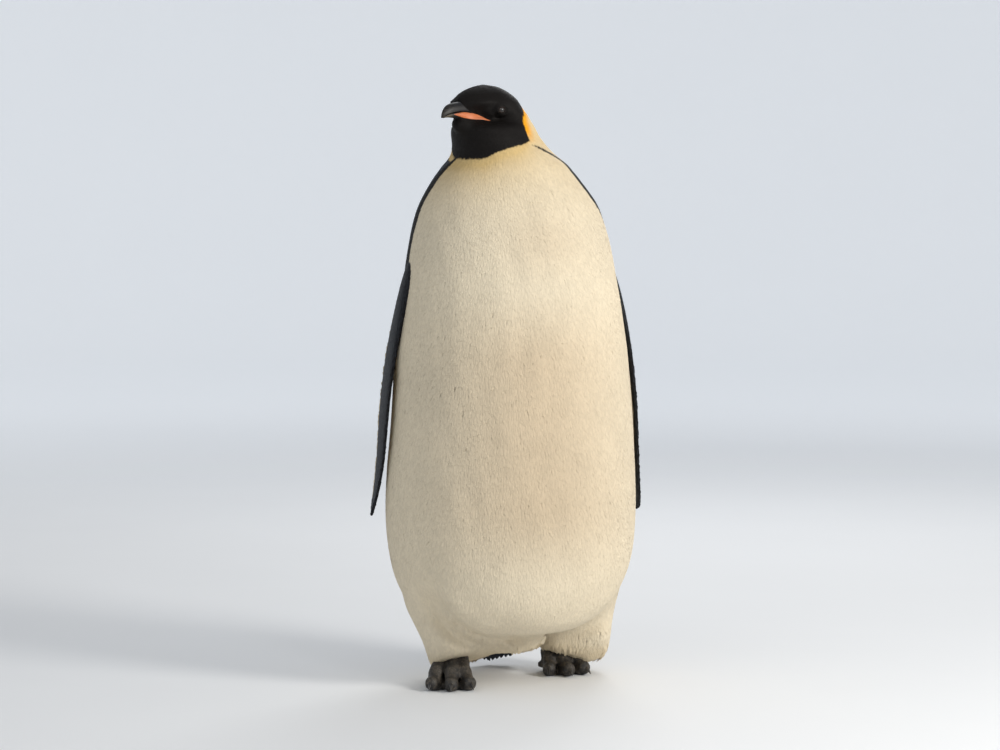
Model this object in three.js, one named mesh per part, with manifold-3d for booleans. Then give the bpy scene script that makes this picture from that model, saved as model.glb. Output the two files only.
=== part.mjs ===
// A standing emperor penguin at life size, head turned to its right, in millimetres.
// +Z is up and the bird faces -Y, so its left side is +X. The flesh is one lofted body
// parted into head, neck and trunk by thin cuts; flippers, legs, feet, tail and bill are
// lofts of their own, each let into its neighbour with a small gap.
import * as THREE from "three";
import { mergeVertices } from "three/addons/utils/BufferGeometryUtils.js";
import Module from "manifold-3d";

const wasm = await Module();
wasm.setup();

// ---- Driving dimensions ----
const HEIGHT = 1042; // floor to crown
const GAP = 0.3; // clearance between neighbouring pieces
const SLIVER = 0.02; // edges and steps smaller than this are joined up
const HEAD_TURN = THREE.MathUtils.degToRad(54); // towards the bird's right
const SKULL = new THREE.Vector3(-54, -35, 1001); // middle of the head
const EYE_RADIUS = 9;
const BELLY_BOTTOM = 88;
const FLIPPER_TOP = 772;
const FLIPPER_TIP = 290;
const FLIPPER_HALF_THICKNESS = 7.5;
const TAIL_LENGTH = 132;
const TOE_RADIUS = 13.5;
const SOLE = 3.4; // how much of the rounded underside is flattened
const CLAW_LENGTH = 25;

// Horizontal sections of the body, from belly to crown. Each is an oval about a middle,
// with its own reach forwards and backwards along the way it faces.
const BODY_KEYS = ["z", "middleX", "middleY", "front", "back", "half", "turn", "dish"];
const BODY = [
  [BELLY_BOTTOM, 0, -40, 8, 8, 8, 0, 0],
  [91, -1, -40, 58, 58, 62, 0, 0],
  [99, -2, -38, 88, 94, 104, 0, 0],
  [115, -3, -33, 120, 124, 142, 0, 0],
  [135, -5, -26, 145, 144, 170, 0, 0],
  [162, -5, -18, 167, 157, 191, 0, 0],
  [200, -4, -10, 187, 164, 208, 0, 0],
  [250, -3, -4, 200, 168, 218, 0, 0],
  [303, -2, 0, 207, 169, 221, 0, 0],
  [393, -1, 0, 205, 172, 217, 0, 0],
  [483, 0, 0, 198, 171, 211, 0, 0],
  [608, 0, 0, 183, 165, 201, 0, 0],
  [700, -2, 0, 167, 156, 189, 0, 0],
  [765, -3, 0, 152, 147, 178, 0, 0],
  [817, -5, 0, 134, 135, 166, 0, 0],
  [857, -6, 0, 115, 119, 149, 0, 0],
  [875, -8, -2, 106, 112, 138, 1, 0],
  [892, -10, -4, 98, 105, 122, 3, 0],
  [901, -12, -6, 95, 101, 112, 6, 0],
  [909, -11, -8, 93, 98, 102, 12, 0],
  [916, -14, -9, 91, 95, 93, 18, 0],
  [927, -19, -10, 89, 90, 86, 28, 0],
  [945, -28, -17, 86, 84, 77, 41, 0],
  [962, -36, -23, 84, 79, 71, 49, 0.04],
  [973, -39, -26, 83, 77, 68, 52, 0.12],
  [979, -42, -28, 82, 74, 65, 53, 0.58],
  [986, -46, -30, 73, 70, 61, 54, 0.74],
  [993, -50, -33, 71, 66, 57, 54, 0.68],
  [SKULL.z, SKULL.x, SKULL.y, 70, 63, 54, 54, 0.44],
  [1008, -55, -35, 69, 61, 52, 54, 0.2],
  [1015, -56, -35, 66, 56, 49, 54, 0.04],
  [1024, -56, -35, 57, 47, 42, 54, 0],
  [1032, -56, -35, 43, 36, 32, 54, 0],
  [1038, -56, -35, 26, 23, 20, 54, 0],
  [HEIGHT, -56, -35, 2, 2, 2, 54, 0],
];
const BODY_COLUMNS = 32;
const TRUNK_ROWS = 19;
const HEAD_ROWS = 17;
const NECK_BASE = 897;

// Horizontal sections of a leg's feathering, between its inner and outer sides.
const COLUMN_KEYS = ["z", "inner", "outer", "front", "back"];
const LEG = [
  [8, 76, 150, -34, 56],
  [17, 64, 166, -48, 68],
  [45, 50, 176, -62, 78],
  [70, 40, 179, -76, 88],
  [100, 34, 184, -92, 98],
  [140, 26, 192, -110, 106],
  [185, 30, 196, -118, 104],
  [225, 52, 176, -96, 84],
];
// The rump, from the back down to the root of the tail.
const RUMP = [
  [34, -34, 34, 96, 122],
  [42, -56, 56, 78, 131],
  [66, -84, 84, 50, 139],
  [100, -114, 114, 16, 148],
  [140, -140, 140, -20, 155],
  [180, -156, 156, -30, 159],
  [215, -158, 158, -30, 161],
  [255, -145, 145, -20, 161],
  [300, -110, 110, -10, 150],
];

// The flipper from shoulder to tip: how far out its middle lies, its two edges, thickness.
const FLIPPER_KEYS = ["z", "out", "leading", "trailing", "thick"];
const FLIPPER = [
  [FLIPPER_TIP, 240, 40, 50, 0.35],
  [306, 238, 21, 58, 0.6],
  [336, 233, 3, 64, 0.7],
  [393, 226.5, -17, 70, 0.85],
  [483, 221, -29, 71, 0.95],
  [570, 211, -34, 66, 1.1],
  [640, 198, -38, 56, 1.5],
  [700, 183, -36, 46, 2.1],
  [745, 165, -28, 36, 2.6],
  [FLIPPER_TOP, 150, -6, 16, 1.9],
];
const LEFT_FLIPPER_TUCK = 3.2; // the left one lies closer to the body

// ---- Curves through stations ----
const radians = THREE.MathUtils.degToRad;

function named(keys, rows) {
  return rows.map((row) => Object.fromEntries(keys.map((key, i) => [key, row[i]])));
}

// A smooth value of one key at height z, with slopes limited so that it never overshoots.
function valueAt(stations, key, z) {
  const last = stations.length - 1;
  let i = stations.findIndex((s, n) => n < last && z <= stations[n + 1].z);
  if (i < 0) i = last - 1;
  const slope = (n) =>
    (stations[n + 1][key] - stations[n][key]) / (stations[n + 1].z - stations[n].z);
  const tangent = (n) => {
    if (n === 0) return slope(0);
    if (n === last) return slope(last - 1);
    const before = slope(n - 1);
    const after = slope(n);
    return before * after <= 0 ? 0 : (2 * before * after) / (before + after);
  };
  const span = stations[i + 1].z - stations[i].z;
  const t = THREE.MathUtils.clamp((z - stations[i].z) / span, 0, 1);
  const [t2, t3] = [t * t, t * t * t];
  return (
    (2 * t3 - 3 * t2 + 1) * stations[i][key] +
    (t3 - 2 * t2 + t) * span * tangent(i) +
    (3 * t2 - 2 * t3) * stations[i + 1][key] +
    (t3 - t2) * span * tangent(i + 1)
  );
}

const body = named(BODY_KEYS, BODY);
const leg = named(COLUMN_KEYS, LEG);
const rump = named(COLUMN_KEYS, RUMP);
const flipper = named(FLIPPER_KEYS, FLIPPER);

// ---- Lofts and solids ----

// A closed surface whose point at an angle (counter-clockwise from above) and a share of
// the way from bottom to top is place(angle, share, point).
function loft(columns, rows, place) {
  const geometry = new THREE.SphereGeometry(1, columns, rows);
  const { position, uv } = geometry.attributes;
  const point = new THREE.Vector3();
  for (let i = 0; i < position.count; i++) {
    const share = uv.getY(i);
    const pole = share < 1e-6 || share > 1 - 1e-6;
    place(pole ? 0 : uv.getX(i) * 2 * Math.PI, share, point);
    position.setXYZ(i, point.x, point.y, point.z);
  }
  return geometry;
}

function solidOf(geometry, matrix = new THREE.Matrix4()) {
  const bare = new THREE.BufferGeometry();
  bare.setAttribute("position", geometry.getAttribute("position").clone());
  if (geometry.index) bare.setIndex(geometry.index);
  bare.applyMatrix4(matrix);
  const merged = mergeVertices(bare, 1e-3);
  return new wasm.Manifold(
    new wasm.Mesh({
      numProp: 3,
      vertProperties: new Float32Array(merged.attributes.position.array),
      triVerts: new Uint32Array(merged.index.array),
    }),
  );
}

function geometryOf(solid) {
  const { numProp, vertProperties, triVerts } = solid.getMesh();
  const corners = new Float32Array((vertProperties.length / numProp) * 3);
  for (let i = 0; i < corners.length / 3; i++)
    corners.set(vertProperties.subarray(i * numProp, i * numProp + 3), i * 3);
  const geometry = new THREE.BufferGeometry();
  geometry.setAttribute("position", new THREE.BufferAttribute(corners, 3));
  geometry.setIndex(new THREE.BufferAttribute(new Uint32Array(triVerts), 1));
  geometry.computeVertexNormals();
  return geometry;
}

// The same solid, larger by a share about a point inside it, to cut room for the piece.
function swollen(solid, share, [x, y, z]) {
  return solid.translate([-x, -y, -z]).scale(1 + share).translate([x, y, z]);
}

// The main body of a solid, without slivers left over by the cuts.
function largest(solid) {
  const pieces = solid.simplify(SLIVER).decompose();
  return pieces.sort((a, b) => b.volume() - a.volume())[0];
}

// Everything on the upper side of a plane through a point, as a large box.
function above(point, tilt, facing) {
  const size = 2000;
  const box = new THREE.BoxGeometry(size, size, size).translate(0, 0, size / 2);
  const matrix = new THREE.Matrix4()
    .makeTranslation(point)
    .multiply(new THREE.Matrix4().makeRotationZ(-facing))
    .multiply(new THREE.Matrix4().makeRotationX(tilt));
  return solidOf(box, matrix);
}

const signedPower = (value, power) => Math.sign(value) * Math.abs(value) ** power;

// ---- Materials ----
const finish = (color, roughness, metalness = 0) =>
  new THREE.MeshStandardMaterial({ color, roughness, metalness });
const whiteFeather = finish(0xeee6d2, 0.7);
const blackFeather = finish(0x17171a, 0.75);
const slateFeather = finish(0x3a414b, 0.7);
const blackHorn = finish(0x1b1a1c, 0.35);
const coralHorn = finish(0xdd7a55, 0.4);
const wetEye = finish(0x120c09, 0.08);
const scalySkin = finish(0x2b2826, 0.65);

// ---- Body: trunk, neck and head ----
const heights = [];
for (let i = 0; i <= TRUNK_ROWS; i++) {
  const share = i / TRUNK_ROWS;
  heights.push(BELLY_BOTTOM + (NECK_BASE - BELLY_BOTTOM) * share ** 1.45);
}
for (let i = 1; i <= HEAD_ROWS; i++) {
  const eased = Math.sin((Math.PI / 2) * (i / HEAD_ROWS)) * 0.5 + (i / HEAD_ROWS) * 0.5;
  heights.push(NECK_BASE + (HEIGHT - NECK_BASE) * eased);
}

// The columns keep their bearing all the way up while the oval turns within them.
function bodyPoint(angle, share, point) {
  const z = heights[Math.round(share * (heights.length - 1))];
  const at = (key) => valueAt(body, key, z);
  const bearing = angle + radians(at("turn"));
  const forward = Math.cos(bearing);
  const reach = forward > 0 ? at("front") : at("back");
  const narrow = 1 - at("dish") * THREE.MathUtils.smoothstep(forward, -0.3, 0.7);
  const half = at("half") * narrow;
  const power = z > NECK_BASE ? 2 : 2.1;
  const sum = Math.abs(forward / reach) ** power + Math.abs(Math.sin(bearing) / half) ** power;
  const closed = share < 1e-6 || share > 1 - 1e-6 ? 0 : 1;
  const radius = closed * sum ** (-1 / power);
  point.set(
    at("middleX") + radius * Math.sin(angle),
    at("middleY") - radius * Math.cos(angle),
    z,
  );
}

// A column of ovals between the four sides of its stations, its foot moved aside.
function columnSurface(stations, columns, rows, side, shift) {
  const bottom = stations[0].z;
  const top = stations[stations.length - 1].z;
  return loft(columns, rows, (angle, share, point) => {
    const z = bottom + (top - bottom) * share ** 1.2;
    const at = (key) => valueAt(stations, key, z);
    const closed = share < 1e-6 || share > 1 - 1e-6 ? 0 : 1;
    const moved = 1 - THREE.MathUtils.smoothstep(z, 40, 190);
    const inner = at("inner") - shift.inward * moved;
    const wide = ((at("outer") - inner) / 2) * closed;
    const deep = ((at("back") - at("front")) / 2) * closed;
    const rearward = signedPower(Math.sin(angle), 0.9) * deep;
    const raised = THREE.MathUtils.clamp(-rearward / 60, 0, 1) * shift.cuff * (1 - share);
    point.set(
      side * ((at("outer") + inner) / 2 + shift.out * moved) +
        signedPower(Math.cos(angle), 0.9) * wide,
      (at("front") + at("back")) / 2 + shift.back * moved + rearward,
      z + raised,
    );
  });
}

const STILL = { out: 0, back: 0, inward: 0, cuff: 0 };
const rumpSolid = solidOf(columnSurface(rump, 18, 8, 1, STILL));
const wholeBody = solidOf(loft(BODY_COLUMNS, heights.length - 1, bodyPoint)).add(rumpSolid);
const BODY_HEART = [0, 0, 300];
const bodyRoom = swollen(wholeBody, 0.0022, BODY_HEART);

// ---- Bill, in the head's own frame: u forwards, v to the left, w up from the skull ----
const headFrame = new THREE.Group();
headFrame.position.copy(SKULL);
headFrame.rotation.z = -HEAD_TURN;

const BILL_TIP = 109; // ahead of the skull's middle
const LOWER_TIP = 105;
const BILL_ROOT = 14;
// Culmen (top ridge), mouth line and keel (underside) above the skull's middle.
const BILL_KEYS = ["z", "culmen", "mouth", "keel", "half"];
const BILL = [
  [BILL_ROOT, 11, -22.5, -27, 27],
  [22, 12.5, -18.5, -24.5, 23.5],
  [34, 13, -11.5, -21.5, 19],
  [50, 12.5, -7.5, -20.5, 15.5],
  [66, 11, -6.5, -19, 12.8],
  [82, 8.6, -8, -17.2, 10],
  [94, 5, -10.5, -16.5, 7.5],
  [101, 0, -13, -17, 5.2],
  [106, -6.5, -15.5, -18, 3],
  [BILL_TIP, -14.5, -17.5, -19, 1],
];
const bill = named(BILL_KEYS, BILL);
const BILL_COLUMNS = 12;
const BILL_ROWS = 13;

// One jaw as a loft along the bill; upper fills mouth line to culmen, lower keel to mouth.
function jaw(upper, reach, grow) {
  return loft(BILL_COLUMNS, BILL_ROWS, (angle, share, point) => {
    const u = BILL_ROOT + (reach - BILL_ROOT) * (1 - (1 - share) ** 1.25);
    const at = (key) => valueAt(bill, key, u);
    const [floor, roof] = upper ? [at("mouth"), at("culmen")] : [at("keel"), at("mouth")];
    const [low, high] = [floor + GAP / 2 - grow, roof - GAP / 2 + grow];
    const side = Math.cos(angle);
    const rise = Math.sin(angle);
    const flatSide = upper ? rise < 0 : rise > 0;
    const closed = share < 1e-6 || share > 1 - 1e-6 ? 0 : 1;
    const seat = (roof - floor - GAP) * (closed ? 0.14 : 0.5) + GAP / 2;
    const base = upper ? floor + seat : roof - seat;
    const edge = flatSide ? (upper ? low : high) : upper ? high : low;
    const shape = Math.abs(rise) ** (flatSide ? 0.6 : 0.85);
    const half = at("half") * (upper ? 1 : 0.92) + grow;
    const out = signedPower(side, 0.8) * half * closed;
    const beyond = closed ? 0 : (share > 0.5 ? grow : -grow);
    point.set(out, -u - beyond, base + (edge - base) * shape * closed);
  });
}

// The coloured plate on each side of the lower jaw, a long lens along the mouth line.
const PLATE_ROOT = 17;
const PLATE_END = 90;
function plate(side, grow) {
  return loft(8, 11, (angle, share, point) => {
    const end = share < 1e-6 ? -1 : share > 1 - 1e-6 ? 1 : 0;
    const u = PLATE_ROOT + (PLATE_END - PLATE_ROOT) * share + end * grow;
    const at = (key) => valueAt(bill, key, u);
    const swell = Math.sin(Math.PI * share ** 0.85) ** 0.6;
    const deep = (at("mouth") - at("keel")) / 2 - GAP;
    const middle = at("mouth") - GAP - deep * (0.35 + 0.65 * swell);
    const tall = (deep * 0.92 * swell + grow) * (end ? 0 : 1);
    const thick = (2.2 * swell + grow) * (end ? 0 : 1);
    const turn = side > 0 ? angle : -angle;
    const out = at("half") * 0.92 - 0.7 + Math.cos(turn) * thick;
    point.set(side * out, -u, middle + Math.sin(turn) * tall);
  });
}

// ---- Eyes ----
const EYE_FORWARD = 6;
const EYE_OUT = 41;
const EYE_RISE = -3;
const eyeGeometry = (grow) => new THREE.SphereGeometry(EYE_RADIUS + grow, 10, 8);

// ---- Flippers ----
function flipperSurface(side, grow) {
  return loft(12, 14, (angle, share, point) => {
    const span = FLIPPER_TOP - FLIPPER_TIP;
    const z = FLIPPER_TIP + span * (0.5 - 0.5 * Math.cos(Math.PI * share ** 1.05));
    const at = (key) => valueAt(flipper, key, z);
    const closed = share < 1e-6 || share > 1 - 1e-6 ? 0 : 1;
    const middle = (at("leading") + at("trailing")) / 2;
    const half = ((at("trailing") - at("leading")) / 2 + grow) * closed;
    const along = Math.cos(angle);
    const across = -side * Math.sin(angle);
    const thick = (FLIPPER_HALF_THICKNESS * at("thick") + grow) * closed;
    const edge = (0.72 - 0.28 * along) * signedPower(across, 0.9);
    const tuck = side > 0 ? LEFT_FLIPPER_TUCK * at("thick") : 0;
    const out = at("out") - tuck + edge * thick - along * 1.5;
    const away = share > 0.5 ? grow : -grow;
    point.set(side * out, middle + along * half, z + away);
  });
}

// ---- Legs, feet and claws ----
// Each foot stands at its own place and angle; its own frame points the toes along -Y.
const FEET = [
  { name: "right", side: -1, x: -108, y: -18, toeOut: 12, out: -8, back: -34, inward: 24 },
  { name: "left", side: 1, x: 103, y: 98, toeOut: 3, out: 8, back: 48, inward: -8 },
];
const TOES = [
  { name: "inner", splay: -18, length: 57, from: -16 },
  { name: "middle", splay: 1, length: 68, from: 0 },
  { name: "outer", splay: 18, length: 59, from: 17 },
];

// A toe along -Y from the origin, flat-soled, with a knuckle before its tip.
function toeSurface(length) {
  return loft(8, 6, (angle, share, point) => {
    const along = -20 + (length + 20) * share;
    const closed = share < 1e-6 || share > 1 - 1e-6 ? 0 : 1;
    const end = Math.sqrt(Math.max(0, 1 - Math.abs(2 * share - 1) ** 3.2)) * closed;
    const knuckle = 1 + 0.1 * Math.sin(share * Math.PI * 3.2 - 0.4);
    const tall = TOE_RADIUS * (2.15 - 0.55 * share) * knuckle;
    const up = 0.5 + 0.5 * signedPower(Math.sin(angle), 0.75);
    point.set(
      Math.cos(angle) * TOE_RADIUS * (1.05 - 0.08 * share) * knuckle * end,
      -along,
      Math.max(0, tall * (0.35 + (up - 0.35) * end) - SOLE),
    );
  });
}

// A claw along -Y from the origin, curving down to its tip.
function clawSurface(grow) {
  return loft(6, 6, (angle, share, point) => {
    const closed = share < 1e-6 || share > 1 - 1e-6 ? 0 : 1;
    const slim = (1 - share ** 1.6) * 0.95 + 0.05;
    const thick = (5.4 * slim + grow) * closed;
    const drop = 10.5 * share ** 1.8;
    point.set(
      Math.cos(angle) * thick * 0.82,
      -CLAW_LENGTH * share + (share > 0.5 ? -grow : grow),
      -drop + Math.sin(angle) * thick,
    );
  });
}

// The instep: from the ankle inside the feathering down to the roots of the toes.
function instepSurface() {
  return loft(12, 7, (angle, share, point) => {
    const along = -26 + 74 * share;
    const closed = share < 1e-6 || share > 1 - 1e-6 ? 0 : 1;
    const end = Math.sqrt(Math.max(0, 1 - Math.abs(2 * share - 1) ** 3)) * closed;
    const tall = 92 - 66 * THREE.MathUtils.smoothstep(share, 0.2, 1);
    const wide = 25 + 12 * share;
    const up = 0.5 + 0.5 * signedPower(Math.sin(angle), 0.7);
    const z = Math.max(0, tall * (0.3 + (up - 0.3) * end) - SOLE);
    point.set(Math.cos(angle) * wide * end, -along, z);
  });
}

// The web between the toes: a low plate with a scalloped front edge.
function webGeometry() {
  const thickness = 9;
  const shape = new THREE.Shape();
  const spread = TOES.map((toe) => {
    const reach = toe.length * 0.72;
    const angle = radians(toe.splay);
    return [toe.from + Math.sin(angle) * reach, -Math.cos(angle) * reach];
  });
  shape.moveTo(-20, 0);
  shape.lineTo(...spread[0]);
  shape.quadraticCurveTo(-9, -34, ...spread[1]);
  shape.quadraticCurveTo(11, -34, ...spread[2]);
  shape.lineTo(22, 0);
  const options = { depth: thickness, bevelEnabled: false, curveSegments: 4 };
  return new THREE.ExtrudeGeometry(shape, options);
}

function placed(x, y, z, turn) {
  return new THREE.Matrix4()
    .makeTranslation(x, y, z)
    .multiply(new THREE.Matrix4().makeRotationZ(turn));
}

const CLAW_RISE = 15;
const LEG_CUFF = 62; // how far the feathering rises over the front of the foot
function footSolids(foot) {
  let flesh = solidOf(instepSurface()).add(solidOf(webGeometry(), placed(0, -22, 0.6, 0)));
  const claws = [];
  for (const toe of TOES) {
    const splay = radians(toe.splay) * foot.side;
    const root = placed(toe.from * foot.side, -22, 0, splay);
    flesh = flesh.add(solidOf(toeSurface(toe.length), root));
    const tip = root.clone().multiply(placed(0, 7 - toe.length, CLAW_RISE, 0));
    claws.push({ name: toe.name, at: tip });
  }
  const hallux = placed(-22 * foot.side, -6, 8, radians(-50) * foot.side);
  const small = new THREE.Matrix4().makeScale(0.45, 0.34, 0.6);
  flesh = flesh.add(solidOf(toeSurface(60), hallux.multiply(small)));
  for (const claw of claws) flesh = flesh.subtract(solidOf(clawSurface(GAP), claw.at));
  return { flesh: largest(flesh), claws };
}

// ---- Tail: a short stiff wedge, its tip just clear of the floor ----
const TAIL_ROOT = new THREE.Vector3(0, 118, 124);
const TAIL_LEAN = radians(62); // below the horizontal
function tailSurface() {
  return loft(16, 10, (angle, share, point) => {
    const closed = share < 1e-6 || share > 1 - 1e-6 ? 0 : 1;
    const along = TAIL_LENGTH * (1 - share);
    const fan = 34 + 16 * Math.sin(Math.PI * Math.min(1, (1 - share) * 0.62));
    const end = Math.sqrt(Math.max(0, 1 - Math.max(0, 1 - 3.2 * share) ** 2)) * closed;
    const thick = (5 + 17 * share ** 1.4) * Math.max(end, 0.35 * closed);
    const out = signedPower(Math.cos(angle), 0.85) * fan * end;
    const lift = signedPower(Math.sin(angle), 0.9) * thick - (out * out) / 260;
    point.set(
      out,
      TAIL_ROOT.y + Math.cos(TAIL_LEAN) * along + Math.sin(TAIL_LEAN) * lift,
      Math.max(0, TAIL_ROOT.z - Math.sin(TAIL_LEAN) * along + Math.cos(TAIL_LEAN) * lift),
    );
  });
}

// ---- Assembly ----
const bird = new THREE.Group();

function add(parent, name, geometry, material) {
  const mesh = new THREE.Mesh(geometry, material);
  mesh.name = name;
  parent.add(mesh);
  return mesh;
}

bird.add(headFrame);
bird.updateMatrixWorld(true);
const headMatrix = headFrame.matrixWorld;

const flippers = [
  { name: "flipper_right", side: -1 },
  { name: "flipper_left", side: 1 },
];
let trunkAndHead = wholeBody;
for (const { name, side } of flippers) {
  trunkAndHead = trunkAndHead.subtract(solidOf(flipperSurface(side, GAP)));
  add(bird, name, flipperSurface(side, 0), slateFeather);
}

const eyes = [
  { name: "eye_right", side: -1 },
  { name: "eye_left", side: 1 },
];
let openHead = trunkAndHead;
for (const { name, side } of eyes) {
  const eye = add(headFrame, name, eyeGeometry(0), wetEye);
  eye.position.set(side * EYE_OUT, -EYE_FORWARD, EYE_RISE);
  eye.updateMatrixWorld(true);
  openHead = openHead.subtract(solidOf(eyeGeometry(GAP), eye.matrixWorld));
}
openHead = openHead.subtract(solidOf(jaw(true, BILL_TIP, GAP), headMatrix));
openHead = openHead.subtract(solidOf(jaw(false, LOWER_TIP, GAP), headMatrix));
add(headFrame, "bill_upper", jaw(true, BILL_TIP, 0), blackHorn);

let lowerJaw = solidOf(jaw(false, LOWER_TIP, 0));
for (const { name, side } of [
  { name: "bill_plate_right", side: -1 },
  { name: "bill_plate_left", side: 1 },
]) {
  lowerJaw = lowerJaw.subtract(solidOf(plate(side, GAP)));
  openHead = openHead.subtract(solidOf(plate(side, GAP), headMatrix));
  add(headFrame, name, plate(side, 0), coralHorn);
}
add(headFrame, "bill_lower", geometryOf(largest(lowerJaw)), blackHorn);

// The chin-to-nape cut parts head from neck, and a level cut parts neck from trunk.
const chinCut = new THREE.Vector3(SKULL.x, SKULL.y, 931);
const baseCut = new THREE.Vector3(0, 0, NECK_BASE);
const lift = new THREE.Vector3(0, 0, GAP);
const CHIN_TILT = radians(17);
const headSide = above(chinCut.clone().add(lift), CHIN_TILT, HEAD_TURN);
const overChin = above(chinCut, CHIN_TILT, HEAD_TURN);
const neckSide = above(baseCut.clone().add(lift), 0, 0);
add(bird, "head", geometryOf(largest(openHead.intersect(headSide))), blackFeather);
const neckSolid = openHead.subtract(overChin).intersect(neckSide);
add(bird, "neck", geometryOf(largest(neckSolid)), whiteFeather);
let trunkSolid = openHead.subtract(above(baseCut, 0, 0));

for (const foot of FEET) {
  const frame = new THREE.Group();
  frame.position.set(foot.x, foot.y, 0);
  frame.rotation.z = radians(foot.toeOut) * foot.side;
  bird.add(frame);
  frame.updateMatrixWorld(true);
  const { flesh, claws } = footSolids(foot);
  add(frame, `foot_${foot.name}`, geometryOf(flesh), scalySkin);
  for (const { name, at } of claws) {
    const claw = add(frame, `claw_${foot.name}_${name}`, clawSurface(0), blackHorn);
    claw.applyMatrix4(at);
  }
  let room = swollen(flesh, 0.012, [0, -20, 12]);
  for (const offset of [[GAP, 0, 0], [-GAP, 0, 0], [0, -GAP, 0], [0, GAP, 0], [0, 0, -GAP]])
    room = room.add(flesh.translate(offset));
  room = room.transform(frame.matrixWorld.elements);
  trunkSolid = trunkSolid.subtract(room);
  const shift = { ...foot, cuff: LEG_CUFF };
  const feathering = solidOf(columnSurface(leg, 18, 8, foot.side, shift));
  const thigh = feathering.subtract(bodyRoom).subtract(room);
  add(bird, `leg_${foot.name}`, geometryOf(largest(thigh)), whiteFeather);
}

add(bird, "trunk", geometryOf(largest(trunkSolid)), whiteFeather);

const tailSolid = solidOf(tailSurface()).subtract(bodyRoom);
add(bird, "tail", geometryOf(largest(tailSolid)), slateFeather);

// The origin is under the middle of the bird, on the floor.
const bounds = new THREE.Box3().setFromObject(bird, true);
const middle = bounds.getCenter(new THREE.Vector3());
bird.position.set(-middle.x, -middle.y, -bounds.min.z);

export default bird;
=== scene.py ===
"""An emperor penguin at life size: one skin under a coat of feather vanes, with horn, eyes and feet.

Lengths are metres. The bird faces -Y, its left side is +X, and the floor is at z = 0.
"""

import math

import bmesh
import bpy
import numpy as np
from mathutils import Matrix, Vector
from mathutils.bvhtree import BVHTree
from mathutils.kdtree import KDTree


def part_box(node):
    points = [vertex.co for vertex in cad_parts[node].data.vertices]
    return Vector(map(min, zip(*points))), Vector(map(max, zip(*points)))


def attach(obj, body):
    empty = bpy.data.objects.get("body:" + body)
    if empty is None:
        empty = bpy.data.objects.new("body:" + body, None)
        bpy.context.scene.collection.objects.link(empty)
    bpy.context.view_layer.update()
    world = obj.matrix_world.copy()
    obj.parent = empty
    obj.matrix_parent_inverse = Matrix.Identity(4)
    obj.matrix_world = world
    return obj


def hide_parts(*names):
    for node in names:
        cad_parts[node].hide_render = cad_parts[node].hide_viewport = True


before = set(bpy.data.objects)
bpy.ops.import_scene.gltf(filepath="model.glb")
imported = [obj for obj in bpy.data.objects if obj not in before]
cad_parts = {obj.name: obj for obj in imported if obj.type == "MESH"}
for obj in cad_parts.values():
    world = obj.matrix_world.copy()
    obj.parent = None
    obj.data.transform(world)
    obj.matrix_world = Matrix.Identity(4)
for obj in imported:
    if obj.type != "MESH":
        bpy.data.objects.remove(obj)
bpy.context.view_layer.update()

MM = 0.001
SIDES = {"right": -1, "left": 1}


# ---- Places taken from the frame ----


def box_middle(node):
    low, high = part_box(node)
    return (low + high) / 2


EYES = {name: box_middle(f"eye_{name}") for name in SIDES}
EYE_RADIUS = (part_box("eye_left")[1].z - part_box("eye_left")[0].z) / 2 + 0.4 * MM
UP = Vector((0, 0, 1))
FRONT_TURN = math.radians(12)  # the bird is seen from this far to its right of its front
FRONT = Vector((-math.sin(FRONT_TURN), -math.cos(FRONT_TURN), 0))
ACROSS = Vector((math.cos(FRONT_TURN), -math.sin(FRONT_TURN), 0))
HEAD_LEFT = (EYES["left"] - EYES["right"]).normalized()
HEAD_FORWARD = HEAD_LEFT.cross(UP)
SKULL = (EYES["left"] + EYES["right"]) / 2 - HEAD_FORWARD * 6 * MM + UP * 3 * MM
AXIS = Vector((SKULL.x + 54 * MM, SKULL.y + 35 * MM, 0))  # the body's own upright axis
HEAD_TO_WORLD = np.array([HEAD_FORWARD, HEAD_LEFT, UP])


def to_head(points):
    """Forward, left and up from the middle of the skull, in millimetres."""
    return (points - np.array(SKULL)) @ HEAD_TO_WORLD.T / MM


def from_head(places):
    """The inverse of to_head: points from places in the head's frame."""
    return np.array(SKULL) + np.asarray(places, float) @ HEAD_TO_WORLD * MM


def body_place(across, front, up):
    """A place given in millimetres from the foot of the body's axis."""
    return AXIS + (ACROSS * across + FRONT * front + UP * up) * MM


def node_corners(node):
    return np.array([v.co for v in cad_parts[node].data.vertices])


def from_eyes(points):
    """How far points are from the middle of the nearer eye."""
    return np.min([np.linalg.norm(points - np.array(eye), axis=1) for eye in EYES.values()], 0)


# ---- Numbers and curves ----


def smoothstep(value, low, high):
    """0 up to the low end, easing up to 1 at the high end."""
    share = np.clip((np.asarray(value, float) - low) / (high - low), 0, 1)
    return share * share * (3 - 2 * share)


def fade(value, start, end):
    """1 up to the start, easing down to 0 at the end."""
    return 1 - smoothstep(value, start, end)


def unit(vectors):
    """The vectors at length 1."""
    return vectors / np.maximum(np.linalg.norm(vectors, axis=-1, keepdims=True), 1e-12)


def dot(a, b):
    return np.sum(a * b, axis=-1, keepdims=True)


def along_surface(vectors, normals):
    """The part of the vectors that lies in the surface, at length 1."""
    return unit(vectors - normals * dot(vectors, normals))


def signed_power(value, power):
    return np.sign(value) * np.abs(value) ** power


def hill(value, middle, width):
    """1 at the middle, fading away over about the width on each side."""
    return np.exp(-(((value - middle) / width) ** 2))


def around(columns):
    """The angles of this many points round a ring."""
    return np.linspace(0, 2 * math.pi, columns, endpoint=False)


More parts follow.
